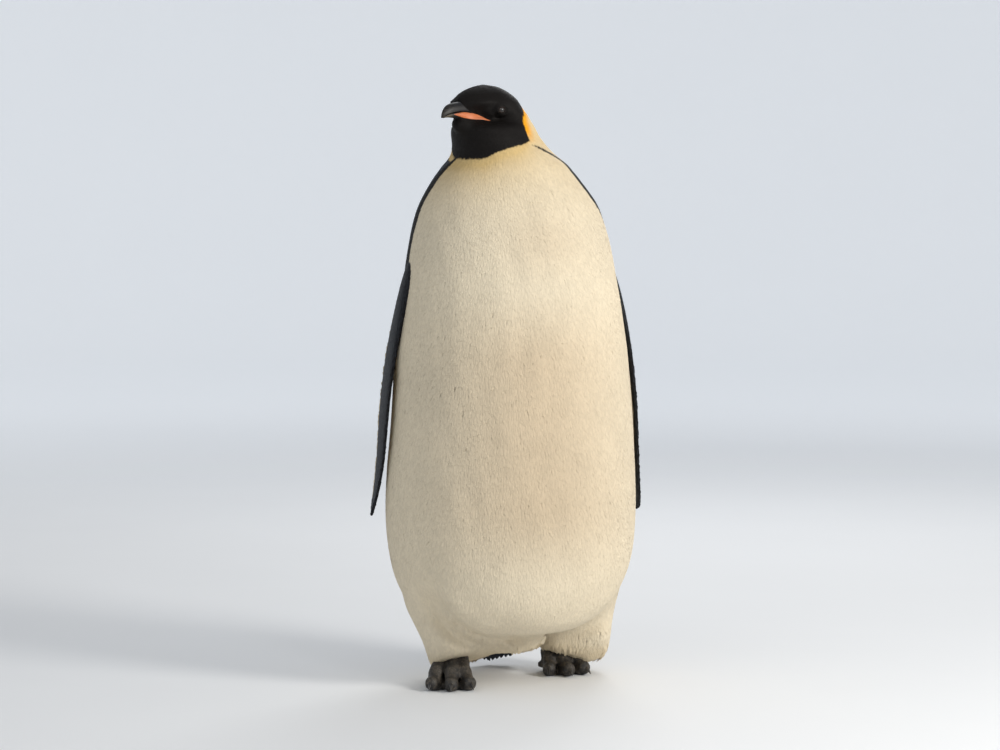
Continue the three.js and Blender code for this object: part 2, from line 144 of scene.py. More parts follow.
def through(stations, at):
    """The other columns of the stations where the first has these values, on smooth curves
    that never overshoot."""
    stations = np.asarray(stations, float)
    place, values = stations[:, 0], stations[:, 1:]
    slope = np.diff(values, axis=0) / np.diff(place)[:, None]
    before, after = slope[:-1], slope[1:]
    level = before * after <= 0
    total = np.where(level, 1, before + after)
    inner = np.where(level, 0, 2 * before * after / total)
    tangent = np.vstack([slope[:1], inner, slope[-1:]])
    at = np.clip(np.atleast_1d(at), place[0], place[-1])
    i = np.clip(np.searchsorted(place, at, side="right") - 1, 0, len(place) - 2)
    span = (place[i + 1] - place[i])[:, None]
    t = (at - place[i])[:, None] / span
    return (
        (2 * t**3 - 3 * t**2 + 1) * values[i]
        + (t**3 - 2 * t**2 + t) * span * tangent[i]
        + (3 * t**2 - 2 * t**3) * values[i + 1]
        + (t**3 - t**2) * span * tangent[i + 1]
    )


# ---- Meshes ----


def mesh_object(name, vertices, faces):
    """An object from vertices and faces, each an array of corner lists of one size."""
    mesh = bpy.data.meshes.new(name)
    corners = np.concatenate([np.asarray(part).ravel() for part in faces])
    sizes = np.concatenate([np.full(len(part), np.shape(part)[1]) for part in faces])
    mesh.vertices.add(len(vertices))
    mesh.vertices.foreach_set("co", np.asarray(vertices, np.float32).ravel())
    mesh.loops.add(len(corners))
    mesh.loops.foreach_set("vertex_index", corners.astype(np.int32))
    mesh.polygons.add(len(sizes))
    starts = np.concatenate([[0], np.cumsum(sizes)[:-1]])
    mesh.polygons.foreach_set("loop_start", starts.astype(np.int32))
    mesh.update(calc_edges=True)
    mesh.validate()
    mesh.shade_smooth()
    made = bpy.data.objects.new(name, mesh)
    bpy.context.scene.collection.objects.link(made)
    return made


def put_values(piece, name, values):
    layer = piece.data.attributes.new(name, "FLOAT", "POINT")
    layer.data.foreach_set("value", np.asarray(values, np.float32))


def tube_faces(rows, columns):
    """Quads round a stack of rings, and a fan of triangles to a pole at each end."""
    ring = np.arange(columns)
    after = (ring + 1) % columns
    quads = []
    for row in range(rows - 1):
        low, high = row * columns, (row + 1) * columns
        quads.append(np.stack([low + ring, low + after, high + after, high + ring], 1))
    first = rows * columns
    last, top = first + 1, (rows - 1) * columns
    fans = [
        np.stack([after, ring, np.full(columns, first)], 1),
        np.stack([top + ring, top + after, np.full(columns, last)], 1),
    ]
    return [np.concatenate(quads), np.concatenate(fans)]


def closed(rings):
    """Points and faces of a closed tube over rings, counter-clockwise seen from the last ring."""
    poles = [rings[0].mean(0), rings[-1].mean(0)]
    return np.concatenate([rings.reshape(-1, 3), poles]), tube_faces(*rings.shape[:2])


def search_tree(points, faces):
    return BVHTree.FromPolygons(points.tolist(), [face for part in faces for face in part.tolist()])


def finished(piece, material, slot, *nodes):
    """Gives a piece its material, its body and the CAD nodes it stands for. The slot is not used."""
    piece.data.materials.append(material)
    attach(piece, "root")
    if nodes:
        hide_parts(*nodes)
    return piece


def cad_copy(node, grow=0.0):
    """A CAD node as a bmesh, its points moved out along their normals."""
    copy = bmesh.new()
    copy.from_mesh(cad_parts[node].data)
    bmesh.ops.remove_doubles(copy, verts=copy.verts, dist=0.01 * MM)
    copy.normal_update()
    for vertex in copy.verts:
        vertex.co += vertex.normal * grow
    return copy


def keep_side(part, point, normal):
    """Cuts a closed bmesh by a plane and keeps the side that the normal points away from."""
    everything = [*part.verts, *part.edges, *part.faces]
    cut = bmesh.ops.bisect_plane(
        part, geom=everything, plane_co=point, plane_no=normal, clear_outer=True
    )
    rim = [e for e in cut["geom_cut"] if isinstance(e, bmesh.types.BMEdge)]
    bmesh.ops.holes_fill(part, edges=rim)
    return part


def arrays_of(mesh):
    """Vertices, quads, triangles and edges of a mesh of quads and triangles."""
    vertices = np.empty(len(mesh.vertices) * 3, np.float32)
    mesh.vertices.foreach_get("co", vertices)
    corners = np.empty(len(mesh.loops), np.int32)
    mesh.loops.foreach_get("vertex_index", corners)
    starts = np.empty(len(mesh.polygons), np.int32)
    mesh.polygons.foreach_get("loop_start", starts)
    sizes = np.diff(np.append(starts, len(corners)))
    quads = corners[starts[sizes == 4][:, None] + np.arange(4)]
    triangles = corners[starts[sizes == 3][:, None] + np.arange(3)]
    edges = np.empty(len(mesh.edges) * 2, np.int32)
    mesh.edges.foreach_get("vertices", edges)
    return vertices.reshape(-1, 3).astype(float), quads, triangles, edges.reshape(-1, 2)


def reshaped(solid, kind, **settings):
    """The surface that one modifier makes of a bmesh."""
    mesh = bpy.data.meshes.new("draft")
    solid.to_mesh(mesh)
    solid.free()
    draft = bpy.data.objects.new("draft", mesh)
    bpy.context.scene.collection.objects.link(draft)
    modifier = draft.modifiers.new("draft", kind)
    for name, value in settings.items():
        setattr(modifier, name, value)
    bpy.context.view_layer.update()
    view = draft.evaluated_get(bpy.context.evaluated_depsgraph_get())
    surface = Surface(bpy.data.meshes.new_from_object(view))
    bpy.data.objects.remove(draft)
    return surface


def united(parts, voxel):
    """One even surface over the union of closed bmeshes."""
    mesh = bpy.data.meshes.new("part")
    whole = bmesh.new()
    for part in parts:
        part.to_mesh(mesh)
        whole.from_mesh(mesh)
        part.free()
    return reshaped(whole, "REMESH", mode="VOXEL", voxel_size=voxel)


class Surface:
    """A mesh held as arrays while it is shaped."""

    def __init__(self, mesh):
        self.vertices, self.quads, self.triangles, self.edges = arrays_of(mesh)
        self.count = len(self.vertices)
        ends = self.edges.ravel()
        self.degree = np.maximum(np.bincount(ends, minlength=self.count), 1)

    def averaged(self, values):
        """The mean of each vertex's neighbours."""
        a, b = self.edges.T
        values = values.reshape(self.count, -1)
        columns = []
        for column in values.T:
            total = np.bincount(a, column[b], self.count) + np.bincount(b, column[a], self.count)
            columns.append(total / self.degree)
        return np.stack(columns, 1)

    def smooth(self, share, times):
        """Eases each vertex towards its neighbours by its share, several times."""
        share = np.broadcast_to(share, self.count)[:, None]
        for _ in range(times):
            self.vertices += share * (self.averaged(self.vertices) - self.vertices)

    def spread(self, values, times):
        """Blurs one value per vertex over the surface."""
        for _ in range(times):
            values = 0.5 * values + 0.5 * self.averaged(values)[:, 0]
        return values

    def tree(self):
        return search_tree(self.vertices, [self.quads, self.triangles])

    def all_triangles(self):
        q = self.quads
        return np.concatenate([self.triangles, q[:, [0, 1, 2]], q[:, [0, 2, 3]]])

    def normals(self):
        corners = self.all_triangles()
        a, b, c = (self.vertices[corners[:, k]] for k in range(3))
        flat = np.cross(b - a, c - a)
        total = np.zeros_like(self.vertices)
        for k in range(3):
            for axis in range(3):
                total[:, axis] += np.bincount(corners[:, k], flat[:, axis], self.count)
        return unit(total)


# ---- Outline of the bill, in the head's own millimetres ----

# Forward, then culmen, mouth line and keel above the skull's middle, and half width.
BILL = [
    [14, 11, -22.5, -27, 27],
    [22, 12.5, -18.5, -24.5, 23.5],
    [34, 13, -11.5, -21.5, 19],
    [50, 12.5, -7.5, -20.5, 15.5],
    [66, 11, -6.5, -19, 12.8],
    [82, 8.6, -8, -17.2, 10],
    [94, 5, -10.5, -16.5, 7.5],
    [101, 0, -13, -17, 5.2],
    [106, -6.5, -15.5, -18, 3],
    [109, -14.5, -17.5, -19, 1],
]


# ---- Skin: one surface under the whole coat ----

VOXEL = 4.2 * MM
FLIPPER_FILL_BOTTOM = 0.56  # above this height the flippers fill their hollows in the trunk
FLIPPER_FILL_INSET = 8 * MM
BILL_CUT = 72  # how far ahead of the skull the skin still runs inside the bill
BILL_NODES = ["bill_upper", "bill_lower", "bill_plate_right", "bill_plate_left"]
# Coat depth and spacing of the feathers in mm, and how far the skin is eased, by group of nodes.
REGIONS = (
    (["head"], (2.2, 1.9, 0.08)),
    (["neck"], (2.8, 2.3, 0.4)),
    (["trunk"], (3.2, 2.3, 0.95)),
    (["tail"], (3.6, 2.6, 0.6)),
    (["leg_right", "leg_left"], (3.4, 2.7, 0.5)),
    (BILL_NODES, (1.4, 1.7, 0.04)),
    (["eye_right", "eye_left"], (1.6, 1.6, 0.08)),
)
FLIPPER_DEPTH = 1.0
FLIPPER_SPACING = 2.5
WELD = 0.4 * MM


def node_tree(names):
    """A search tree over some CAD nodes, and which of the names each face belongs to."""
    corners, faces, owner = [], [], []
    for index, name in enumerate(names):
        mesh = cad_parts[name].data
        first = len(corners)
        corners.extend(v.co.copy() for v in mesh.vertices)
        faces.extend([first + i for i in p.vertices] for p in mesh.polygons)
        owner.extend([index] * len(mesh.polygons))
    return BVHTree.FromPolygons(corners, faces), np.array(owner)


def owners(points, names):
    """Which of the nodes each point is nearest to."""
    tree, owner = node_tree(names)
    return np.array([owner[tree.find_nearest(Vector(p))[2]] for p in points])


CHIN_PLACE, CHIN_SIZE = (48, 0, -29), (30, 22, 16)  # mm in the head's frame
# Loose feathered skin that closes the gap between the legs: middle and half sizes in mm,
# across, towards the front and up.
SKIRT_PLACE, SKIRT_SIZE = (-6, 12, 84), (68, 34, 36)
SKIRT_FULLNESS = 0.7  # 1 is round, less is fuller at the corners
# The trouser's lower edge, lower at the heel than over the toes: for each leg a place on it, as
# across, front and up in mm from the body's axis, and its slopes across and towards the front.
TROUSER_EDGE = {"right": ((-150, 27, 25), 0.24, 0.34), "left": ((164, -63, 13), -0.32, 0.32)}
TROUSER_DRAWN_IN = {"right": 16, "left": 7}  # mm towards the left, at the outer side


def pad(segments, rings, placed):
    """A closed ball whose points are moved as a function says."""
    ball = bmesh.new()
    bmesh.ops.create_uvsphere(ball, u_segments=segments, v_segments=rings, radius=1)
    for vertex in ball.verts:
        vertex.co = placed(np.array(vertex.co))
    bmesh.ops.recalc_face_normals(ball, faces=ball.faces)
    return ball


def chin():
    """The soft pad that closes the throat up to the bill's underside."""
    return pad(32, 20, lambda point: from_head(point * CHIN_SIZE + np.array(CHIN_PLACE)))


def skirt():
    """The loose skin between the legs."""
    size, place = SKIRT_SIZE, SKIRT_PLACE
    return pad(40, 24, lambda p: body_place(*signed_power(p, SKIRT_FULLNESS) * size + place))


def trouser_plane(side):
    """A place on the trouser's lower edge, and the way out of the trouser there."""
    place, slope_across, slope_front = TROUSER_EDGE[side]
    return body_place(*place), (ACROSS * slope_across + FRONT * slope_front - UP).normalized()


def ankle(side):
    """The part of the foot's solid that fills the hollow of the thigh."""
    return keep_side(cad_copy(f"foot_{side}", WELD), *trouser_plane(side))


def trouser(side):
    """The feathered thigh, cut where the foot's own skin begins and drawn in above it."""
    leg = keep_side(cad_copy(f"leg_{side}", WELD), *trouser_plane(side))
    for vertex in leg.verts:
        offset = (vertex.co - AXIS) / MM
        out = offset.dot(ACROSS)
        low = fade(offset.z, 40, 150)
        shift = TROUSER_DRAWN_IN[side] * smoothstep(-out if side == "right" else out, 70, 150)
        vertex.co += ACROSS * float(low * shift) * MM
    return leg


def body_surface():
    """The union of everything under the body's coat, with the flippers' roots set in."""
    parts = [cad_copy(name, WELD) for name in ("head", "neck", "trunk", "tail")]
    parts += [make(side) for side in SIDES for make in (trouser, ankle)] + [skirt()]
    parts += [cad_copy(f"eye_{side}", WELD) for side in SIDES]
    for side, sign in SIDES.items():
        filler = cad_copy(f"flipper_{side}", WELD)
        keep_side(filler, Vector((0, 0, FLIPPER_FILL_BOTTOM)), Vector((0, 0, -1)))
        bmesh.ops.translate(filler, verts=filler.verts, vec=(-sign * FLIPPER_FILL_INSET, 0, 0))
        parts.append(filler)
    cut = Vector(from_head([BILL_CUT, 0, 0]))
    parts += [keep_side(cad_copy(name, WELD), cut, HEAD_FORWARD) for name in BILL_NODES]
    return united(parts + [chin()], VOXEL)


EASE_TIMES = 110
BLUR_TIMES = 14
BILL_COAT = 0.1  # mm of coat where feathers run out over the bill
COAT_AT_BILL, COAT_RISE = 0.3, 0.11  # mm of coat beside the bill, and its rise per mm away from it


def sunk_body():
    """The body's surface eased of its facets and sunk below the tips of the coat."""
    body = body_surface()
    names = [name for group, _ in REGIONS for name in group]
    part = owners(body.vertices, names)
    table = np.array([values for group, values in REGIONS for _ in group])
    depth, spacing, ease = table[part].T
    ease = body.spread(ease, BLUR_TIMES) * (0.25 + 0.75 * smoothstep(body.vertices[:, 2], 0.15, 0.27))
    head = to_head(body.vertices)
    brow = hill(head[:, 0], 34, 13) * (np.abs(head[:, 1]) < 30) * (head[:, 2] > -8)
    body.smooth(0.5 * np.maximum(ease, 0.22 * brow), EASE_TIMES)
    shape_head(body.vertices)
    shape_folds(body)
    horn = np.isin(part, [names.index(name) for name in BILL_NODES])
    depth = np.where(horn & bill_is_feathered(to_head(body.vertices)), BILL_COAT, depth)
    tree, _ = node_tree(["bill_upper", "bill_lower"])
    from_bill = np.array([tree.find_nearest(Vector(p))[3] for p in body.vertices]) / MM
    depth = np.where(horn, depth, np.minimum(depth, COAT_AT_BILL + COAT_RISE * from_bill))
    depth = body.spread(depth, 2)
    spacing = body.spread(spacing, BLUR_TIMES)
    body.vertices -= body.normals() * depth[:, None] * MM
    return body, depth, spacing


# Fillings of the face between bill and eye: growth in mm, bearing from the bill and its spread in
# degrees, height above the skull's middle and its spread in mm, and its rise per degree forward.
FACE_FILLINGS = {
    "lore": (4.5, 36, 17, 6, 8, 0),
    "cheek": (7.5, 55, 18, -6, 10, 0),
    "under_eye": (11.5, 64, 17, -14, 8, 0.28),
}
NAPE_GROWTH, BROW_DRAWN_IN = 6.5, 5.5  # mm


def head_bearing(head):
    """How far places in the head's frame are turned from the bill to either side, in degrees."""
    return np.abs(np.degrees(np.arctan2(head[:, 1], head[:, 0])))


def shape_head(vertices):
    """Draws the brows in towards the bill and fills the face and the sides of the nape."""
    head = to_head(vertices)
    bearing = head_bearing(head)
    up = head[:, 2]
    nape = hill(bearing, 132, 34) * smoothstep(up, -26, -8) * (1 - 0.6 * smoothstep(up, 12, 34))
    brow = hill(bearing, 46, 36) * smoothstep(up, 9, 20) * fade(up, 37, 45)
    grown = NAPE_GROWTH * nape - BROW_DRAWN_IN * brow
    for growth, middle, wide, height, tall, rise in FACE_FILLINGS.values():
        level = height + (middle - bearing) * rise
        grown += growth * (hill(bearing, middle, wide) * hill(up, level, tall))
    grown *= smoothstep(np.hypot(head[:, 0], head[:, 1]), 6, 24)
    vertices += unit(head * np.array([1, 1, 0])) * grown[:, None] @ HEAD_TO_WORLD * MM


# The lower edge of the belly: middle across and up, half sizes to the right, left and down, in mm.
BELLY_EDGE = (26, 216, 150, 167, 132)
BELLY_TUCK = 30  # how far the legs stand back under that edge
# A roll of loose skin under the belly's right half, as places across and up, in mm.
ROLL = [(-114, 138), (-88, 108), (-57, 88), (-19, 75), (10, 63)]
ROLL_HEIGHT, ROLL_WIDTH = 28, 8.5
SWELL_HEIGHT = 5  # how far the belly stands out just above its edge
WAVE_HEIGHT = 1.1


def distance_to_path(across, up, path):
    """The distance from a path of short straight runs, and how far along it the nearest is."""
    best = np.full(len(across), 1e9)
    along = np.zeros(len(across))
    place = np.stack([across, up], 1)
    runs = list(zip(np.array(path[:-1], float), np.array(path[1:], float)))
    for index, (start, end) in enumerate(runs):
        run = end - start
        share = np.clip((place - start) @ run / (run @ run), 0, 1)
        distance = np.linalg.norm(place - start - share[:, None] * run, axis=1)
        along = np.where(distance < best, (index + share) / len(runs), along)
        best = np.minimum(best, distance)
    return best, along


def shape_folds(body):
    """The belly's overhang above the legs, the roll under it, and soft hollows in the coat."""
    offset = (body.vertices - np.array(AXIS)) / MM
    across, up = offset @ np.array(ACROSS), offset[:, 2]
    facing = smoothstep(body.normals() @ np.array(FRONT), -0.6, 0.3)
    middle_across, middle_up, half_right, half_left, half_up = BELLY_EDGE
    half_across = np.where(across < middle_across, half_right, half_left)
    edge = np.hypot((across - middle_across) / half_across, (up - middle_up) / half_up)
    low = fade(up, 140, middle_up - 10) * facing
    tuck = smoothstep(edge, 1.0, 1.07) * fade(edge, 1.12, 1.42)
    swell = smoothstep(edge, 0.72, 0.95) * fade(edge, 0.97, 1.03)
    beside, along = distance_to_path(across, up, ROLL)
    roll = hill(beside, 0, ROLL_WIDTH) * smoothstep(along, -0.1, 0.15)
    roll *= (1 - 0.6 * smoothstep(along, 0.8, 1)) * (0.84 + 0.16 * np.sin(along * 24))
    lift = (SWELL_HEIGHT * swell - BELLY_TUCK * tuck + ROLL_HEIGHT * roll) * low
    body.vertices += np.array(FRONT) * lift[:, None] * MM
    near = smoothstep(edge, 0.8, 0.95) * fade(edge, 1.3, 1.6) * (up < middle_up)
    body.smooth(0.5 * near, 3)
    waves = soft_waves(body.vertices) * smoothstep(up, 120, 250) * fade(up, 820, 880)
    body.vertices += body.normals() * (WAVE_HEIGHT * waves)[:, None] * MM


def soft_waves(points):
    """Long soft hollows running down the coat, between -1 and 1."""
    x, y, z = (points / MM).T
    first = np.sin(x / 13 + 1.7 * np.sin(z / 61) + 0.6) * np.sin(z / 74 + x / 47)
    second = np.sin(x / 7.3 - 1.3 * np.sin(z / 38 + 2)) * np.sin(z / 41 - y / 33 + 1)
    return 0.65 * first + 0.35 * second


RAY = Vector((0.31, 0.2, 0.93)).normalized()  # any direction that runs along no face
RAY_STEP = 0.001  # mm past each face that the ray crosses
UNDER_HORN = 0.2  # mm from the horn within which skin counts as covered by it


def within(tree, point, step):
    """Whether a point is inside a closed surface, by how often a ray out of it crosses that."""
    crossings = 0
    hit = tree.ray_cast(point, RAY)[0]
    while hit is not None:
        crossings += 1
        hit = tree.ray_cast(hit + RAY * step, RAY)[0]
    return crossings % 2 == 1


def inside_jaws(head):
    """Whether points lie under the horn of either jaw."""
    trees = [search_tree(*closed(jaw(upper))) for upper in (True, False)]
    inside = np.zeros(len(head), bool)
    for i in np.flatnonzero((head[:, 0] > JAW_ROOT) & (np.abs(head[:, 1]) < 30)):
        point = Vector(head[i])
        for tree in trees:
            distance = tree.find_nearest(point)[3]
            inside[i] |= distance < UNDER_HORN or (distance < 20 and within(tree, point, RAY_STEP))
    return inside


def bill_is_feathered(head):
    """Where feathers run out over the root of the bill."""
    forward, up = head[:, 0], head[:, 2]
    _, mouth, keel, _ = through(BILL, forward).T
    upper = (up > mouth + 3) & (forward < 44 + 0.8 * (up - mouth))
    lower = (up < keel + 1.5) & (forward < 66)
    return upper | lower


LID_OPENING = 5.7  # mm, from the middle of the eye to the lid's edge
LID_REACH = 19.0
LID_DIP_REACH = 11.5  # where the face stands further out than the lid
LID_ROLL = 0.8
BARE_RADIUS = EYE_RADIUS + 0.4 * MM  # no feather is rooted nearer the eye's middle
EYE_TURN = math.radians(20)  # how far the eyes look forward of straight sideways
FAR = 1000.0  # mm, for points that are behind the eyeballs


def eye_axis(sign):
    """The ways that an eye looks out, and forward across it."""
    aside, ahead = np.array(HEAD_LEFT) * sign, np.array(HEAD_FORWARD)
    turn = math.cos(EYE_TURN), math.sin(EYE_TURN)
    return aside * turn[0] + ahead * turn[1], ahead * turn[0] - aside * turn[1]


def eye_axis_distance(points):
    """How far points in front of the eyeballs are from the line that the nearer eye looks along."""
    best = np.full(len(points), FAR)
    for name, sign in SIDES.items():
        offset = points - np.array(EYES[name])
        out, _ = eye_axis(sign)
        along = offset @ out
        near = np.linalg.norm(offset - along[:, None] * out, axis=1) / MM
        best = np.minimum(best, np.where(along > -4 * MM, near, FAR))
    return best


def shape_lids(vertices):
    """Raises the skin round each eye into a rolled lid and draws it back behind the eyeball."""
    for name, sign in SIDES.items():
        out, ahead = eye_axis(sign)
        offset = (vertices - np.array(EYES[name])) / MM
        height = offset @ out
        forward = offset @ ahead
        up = offset[:, 2]
        reach = np.sqrt((forward / 1.08) ** 2 + (up / 0.93) ** 2)
        near = (reach < LID_REACH) & (height > -24)
        radius = EYE_RADIUS / MM
        edge = math.sqrt((radius + LID_ROLL) ** 2 - LID_OPENING**2)
        wide = np.where(height < edge, LID_REACH, LID_DIP_REACH)
        mound = fade((reach - LID_OPENING) / (wide - LID_OPENING), 0, 1)
        fold = 0.28 * np.cos((reach - LID_OPENING) * 2.4) * smoothstep(reach, 12, LID_OPENING + 1)
        raised = height + (edge - height) * mound**1.5 + fold
        behind = np.sqrt(np.maximum((radius - 1.6) ** 2 - reach**2, 1))
        inside = fade(reach, LID_OPENING - 1.1, LID_OPENING)
        wanted = raised * (1 - inside) + behind * inside
        vertices[near] += (out * ((wanted - height) * MM)[:, None])[near]


def finer_near_eyes(body, depth, spacing):
    """Splits the faces round the eyes three times over, carrying the values along."""
    draft = mesh_object("finer", body.vertices, [body.quads, body.triangles])
    mesh = draft.data
    work = bmesh.new()
    work.from_mesh(mesh)
    depth_layer = work.verts.layers.float.new("depth")
    spacing_layer = work.verts.layers.float.new("spacing")
    for vertex, d, s in zip(work.verts, depth, spacing):
        vertex[depth_layer] = d
        vertex[spacing_layer] = s
    for reach in (30, 21, 16):
        near = {v for v in work.verts for eye in EYES.values() if (v.co - eye).length < reach * MM}
        edges = [e for e in work.edges if near.intersection(e.verts)]
        bmesh.ops.subdivide_edges(work, edges=edges, cuts=1, use_grid_fill=True, smooth=0.6)
    bmesh.ops.triangulate(work, faces=[f for f in work.faces if len(f.verts) > 4])
    work.verts.ensure_lookup_table()
    depth = np.array([v[depth_layer] for v in work.verts])
    spacing = np.array([v[spacing_layer] for v in work.verts])
    work.to_mesh(mesh)
    work.free()
    fine = Surface(mesh)
    bpy.data.objects.remove(draft)
    fine.smooth(0.5 * fade(from_eyes(fine.vertices), 20 * MM, 32 * MM), 12)
    return fine, depth, spacing


def flipper_surface(side):
    """A flipper's skin: its CAD solid subdivided and sunk by its thin coat."""
    solid = cad_copy(f"flipper_{side}")
    bmesh.ops.join_triangles(
        solid, faces=solid.faces, angle_face_threshold=1.2, angle_shape_threshold=3.1
    )
    surface = reshaped(solid, "SUBSURF", levels=1)
    surface.vertices -= surface.normals() * FLIPPER_DEPTH * MM
    return surface


# ---- Feet: thick scaly toes ----

FOOT_VOXEL = 2 * MM
SCALE_SIZE = 4.2  # mm across one scale of the toes
SCALE_RELIEF = 0.55
ANKLE_SUNK = 7  # mm that the foot's skin shrinks inside the trouser


def cell_pattern(points, size, seed):
    """0 on the seams between rounded cells of about one size, rising to 1 on their backs."""
    low = points.min(0) - 2 * size
    counts = np.ceil((points.max(0) + 2 * size - low) / size).astype(int)
    rng = np.random.default_rng(seed)
    jitter = rng.random((*counts, 3))
    cell = np.floor((points - low) / size).astype(int)
    near = []
    for step in np.ndindex(3, 3, 3):
        other = np.clip(cell + np.array(step) - 1, 0, counts - 1)
        middle = low + (other + jitter[tuple(other.T)]) * size
        near.append(np.linalg.norm(points - middle, axis=1))
    near = np.sort(np.array(near), axis=0)[:2]
    return smoothstep((near[1] - near[0]) / size, 0, 0.45)


TOES = ("inner", "middle", "outer")
TOE_BACK, TOE_AHEAD = 58, 9  # mm of flesh behind and ahead of the root of its claw


def claw_line(side, toe):
    """Root, level direction and tip of a claw, from its CAD node."""
    corners = node_corners(f"claw_{side}_{toe}")
    tip = corners[corners[:, 2].argmin()]
    root = corners[corners[:, 1] > corners[:, 1].max() - 2 * MM].mean(0)
    level = (tip - root) * np.array([1, 1, 0])
    return root, level / np.linalg.norm(level), tip


def toe_rings(side, toe):
    """A thick toe that arches down from the ankle, with a knuckle and a pad before the claw."""
    root, ahead, _ = claw_line(side, toe)
    share = np.linspace(0, 1, 26)
    run = -TOE_BACK + (TOE_BACK + TOE_AHEAD) * share
    knuckle = hill(share, 0.42, 0.13) + 0.8 * hill(share, 0.84, 0.12)
    radius = (12.4 - 2.2 * share + 2.2 * knuckle) * np.clip((1 - share) / 0.10, 0.05, 1) ** 0.45
    height = 12.5 + 27 * fade(share, 0.0, 0.86) ** 1.15 + 1.2 * knuckle
    angle = around(24)[:, None]
    aside = np.array([-ahead[1], ahead[0], 0])
    level = root * np.array([1, 1, 0])
    middle = level + (run[:, None] * ahead + height[:, None] * np.array(UP)) * MM
    ring = np.cos(angle) * aside * 0.96 + np.sin(angle) * np.array(UP)
    return middle[:, None] + ring[None] * radius[:, None, None] * MM


def toe_solid(side, toe):
    solid = bmesh.new()
    points, faces = closed(toe_rings(side, toe))
    corners = [solid.verts.new(point) for point in points]
    for face in [face for part in faces for face in part]:
        solid.faces.new([corners[i] for i in face])
    bmesh.ops.recalc_face_normals(solid, faces=solid.faces)
    return solid


def foot_surface(side):
    """A foot with thick toes, its scales and wrinkles, shrunk where the trouser hides it."""
    parts = [cad_copy(f"foot_{side}")] + [toe_solid(side, toe) for toe in TOES]
    foot = united(parts, FOOT_VOXEL)
    foot.smooth(0.5, 7)
    stretched = foot.vertices / MM * np.array([1, 1.25, 1])
    scales = cell_pattern(stretched, SCALE_SIZE, 5 + SIDES[side])
    wrinkles = np.sin(foot.vertices[:, 1] / MM * 1.15) * smoothstep(foot.vertices[:, 2], 0.014, 0.026)
    above = smoothstep(foot.vertices[:, 2], 0.001, 0.006)
    relief = ((scales - 0.6) * SCALE_RELIEF + 0.12 * wrinkles) * above
    foot.vertices += foot.normals() * relief[:, None] * MM
    place, out = trouser_plane(side)
    hidden = (np.array(place) - foot.vertices) @ np.array(out) / MM
    foot.vertices -= foot.normals() * (ANKLE_SUNK * smoothstep(hidden, 2, 12))[:, None] * MM
    foot.vertices[:, 2] = np.maximum(foot.vertices[:, 2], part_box(f"foot_{side}")[0].z)
    return foot


# ---- Markings ----

# Middle of the neck and trunk at each height, in mm from the body's axis.
SPINE = [
    [0, 0, 0],
    [817, -5, 0],
    [857, -6, 0],
    [892, -10, -4],
    [909, -11, -8],
    [927, -19, -10],
    [945, -28, -17],
    [962, -36, -23],
    [979, -42, -28],
    [1001, -54, -35],
    [1100, -56, -35],
]
# The hood's lower margin above the skull's middle, by bearing from the bill.
HOOD_MARGIN = [[0, -88], [27, -87], [43, -86], [67, -74], [80, -68], [100, -62], [112, -56], [180, -56]]
# The hood's rear edge, as a bearing from the bill, by height above the skull's middle.
HOOD_REAR = [[-90, 110], [-54, 111], [-38, 111], [-28, 112], [-16, 116], [-6, 126], [12, 148], [20, 181]]
# By height: on each side the bearing from the chest of the shoulder band's front edge, the
# band's width in mm, and the bearing where the dark back begins.
BAND_KEYS = ("left", "right", "left_width", "right_width", "left_back", "right_back")
SHOULDER_BAND = [
    [60, 160, 156, 8, 8, 160, 156],
    [100, 153, 148, 10, 10, 153, 148],
    [150, 142, 135, 11, 11, 142, 135],
    [200, 130, 122, 12, 12, 130, 122],
    [300, 112, 109, 14, 14, 112, 109],
    [450, 99, 99, 16, 16, 99, 99],
    [600, 92, 92, 20, 20, 92, 92],
    [772, 83, 86, 25, 24, 83, 86],
    [820, 75, 84, 26, 25, 78, 84],
    [842, 70, 83, 26, 26, 76, 83],
    [866, 67, 81, 26, 24, 75, 82],
    [880, 66, 80, 25, 22, 74, 81],
    [893, 66, 78, 24, 18, 75, 80],
    [902, 66, 76, 22, 14, 77, 80],
    [909, 65, 74, 20, 12, 80, 82],
    [915, 61, 70, 18, 9, 83, 100],
    [921, 54, 66, 16, 4, 87, 122],
    [927, 46, 62, 14, 0, 90, 140],
    [931, 41, 60, 12, 0, 91, 148],
    [936, 35, 60, 9, 0, 93, 158],
    [939, 30, 60, 0, 0, 94, 163],
    [950, 20, 60, 0, 0, 96, 182],
    [1001, 20, 60, 0, 0, 98, 206],
]


def by_height(rows, height):
    """The rows' other columns where the first has these values, on straight runs."""
    at, *columns = zip(*rows)
    return np.stack([np.interp(height, at, column) for column in columns])


def chest_bearing(points):
    """The bearing round the neck or trunk from the chest towards the left, 0 to 360, and the
    distance in mm from the middle there."""
    height = points[:, 2] / MM
    middle = by_height(SPINE, height)
    x = (points[:, 0] - AXIS.x) / MM - middle[0]
    y = (points[:, 1] - AXIS.y) / MM - middle[1]
    return np.degrees(np.arctan2(x, -y)) % 360, np.hypot(x, y)


def bearing_either_side(points):
    """The bearing from the chest, positive to the left and negative to the right."""
    bearing, _ = chest_bearing(points)
    return np.where(bearing > 180, bearing - 360, bearing)


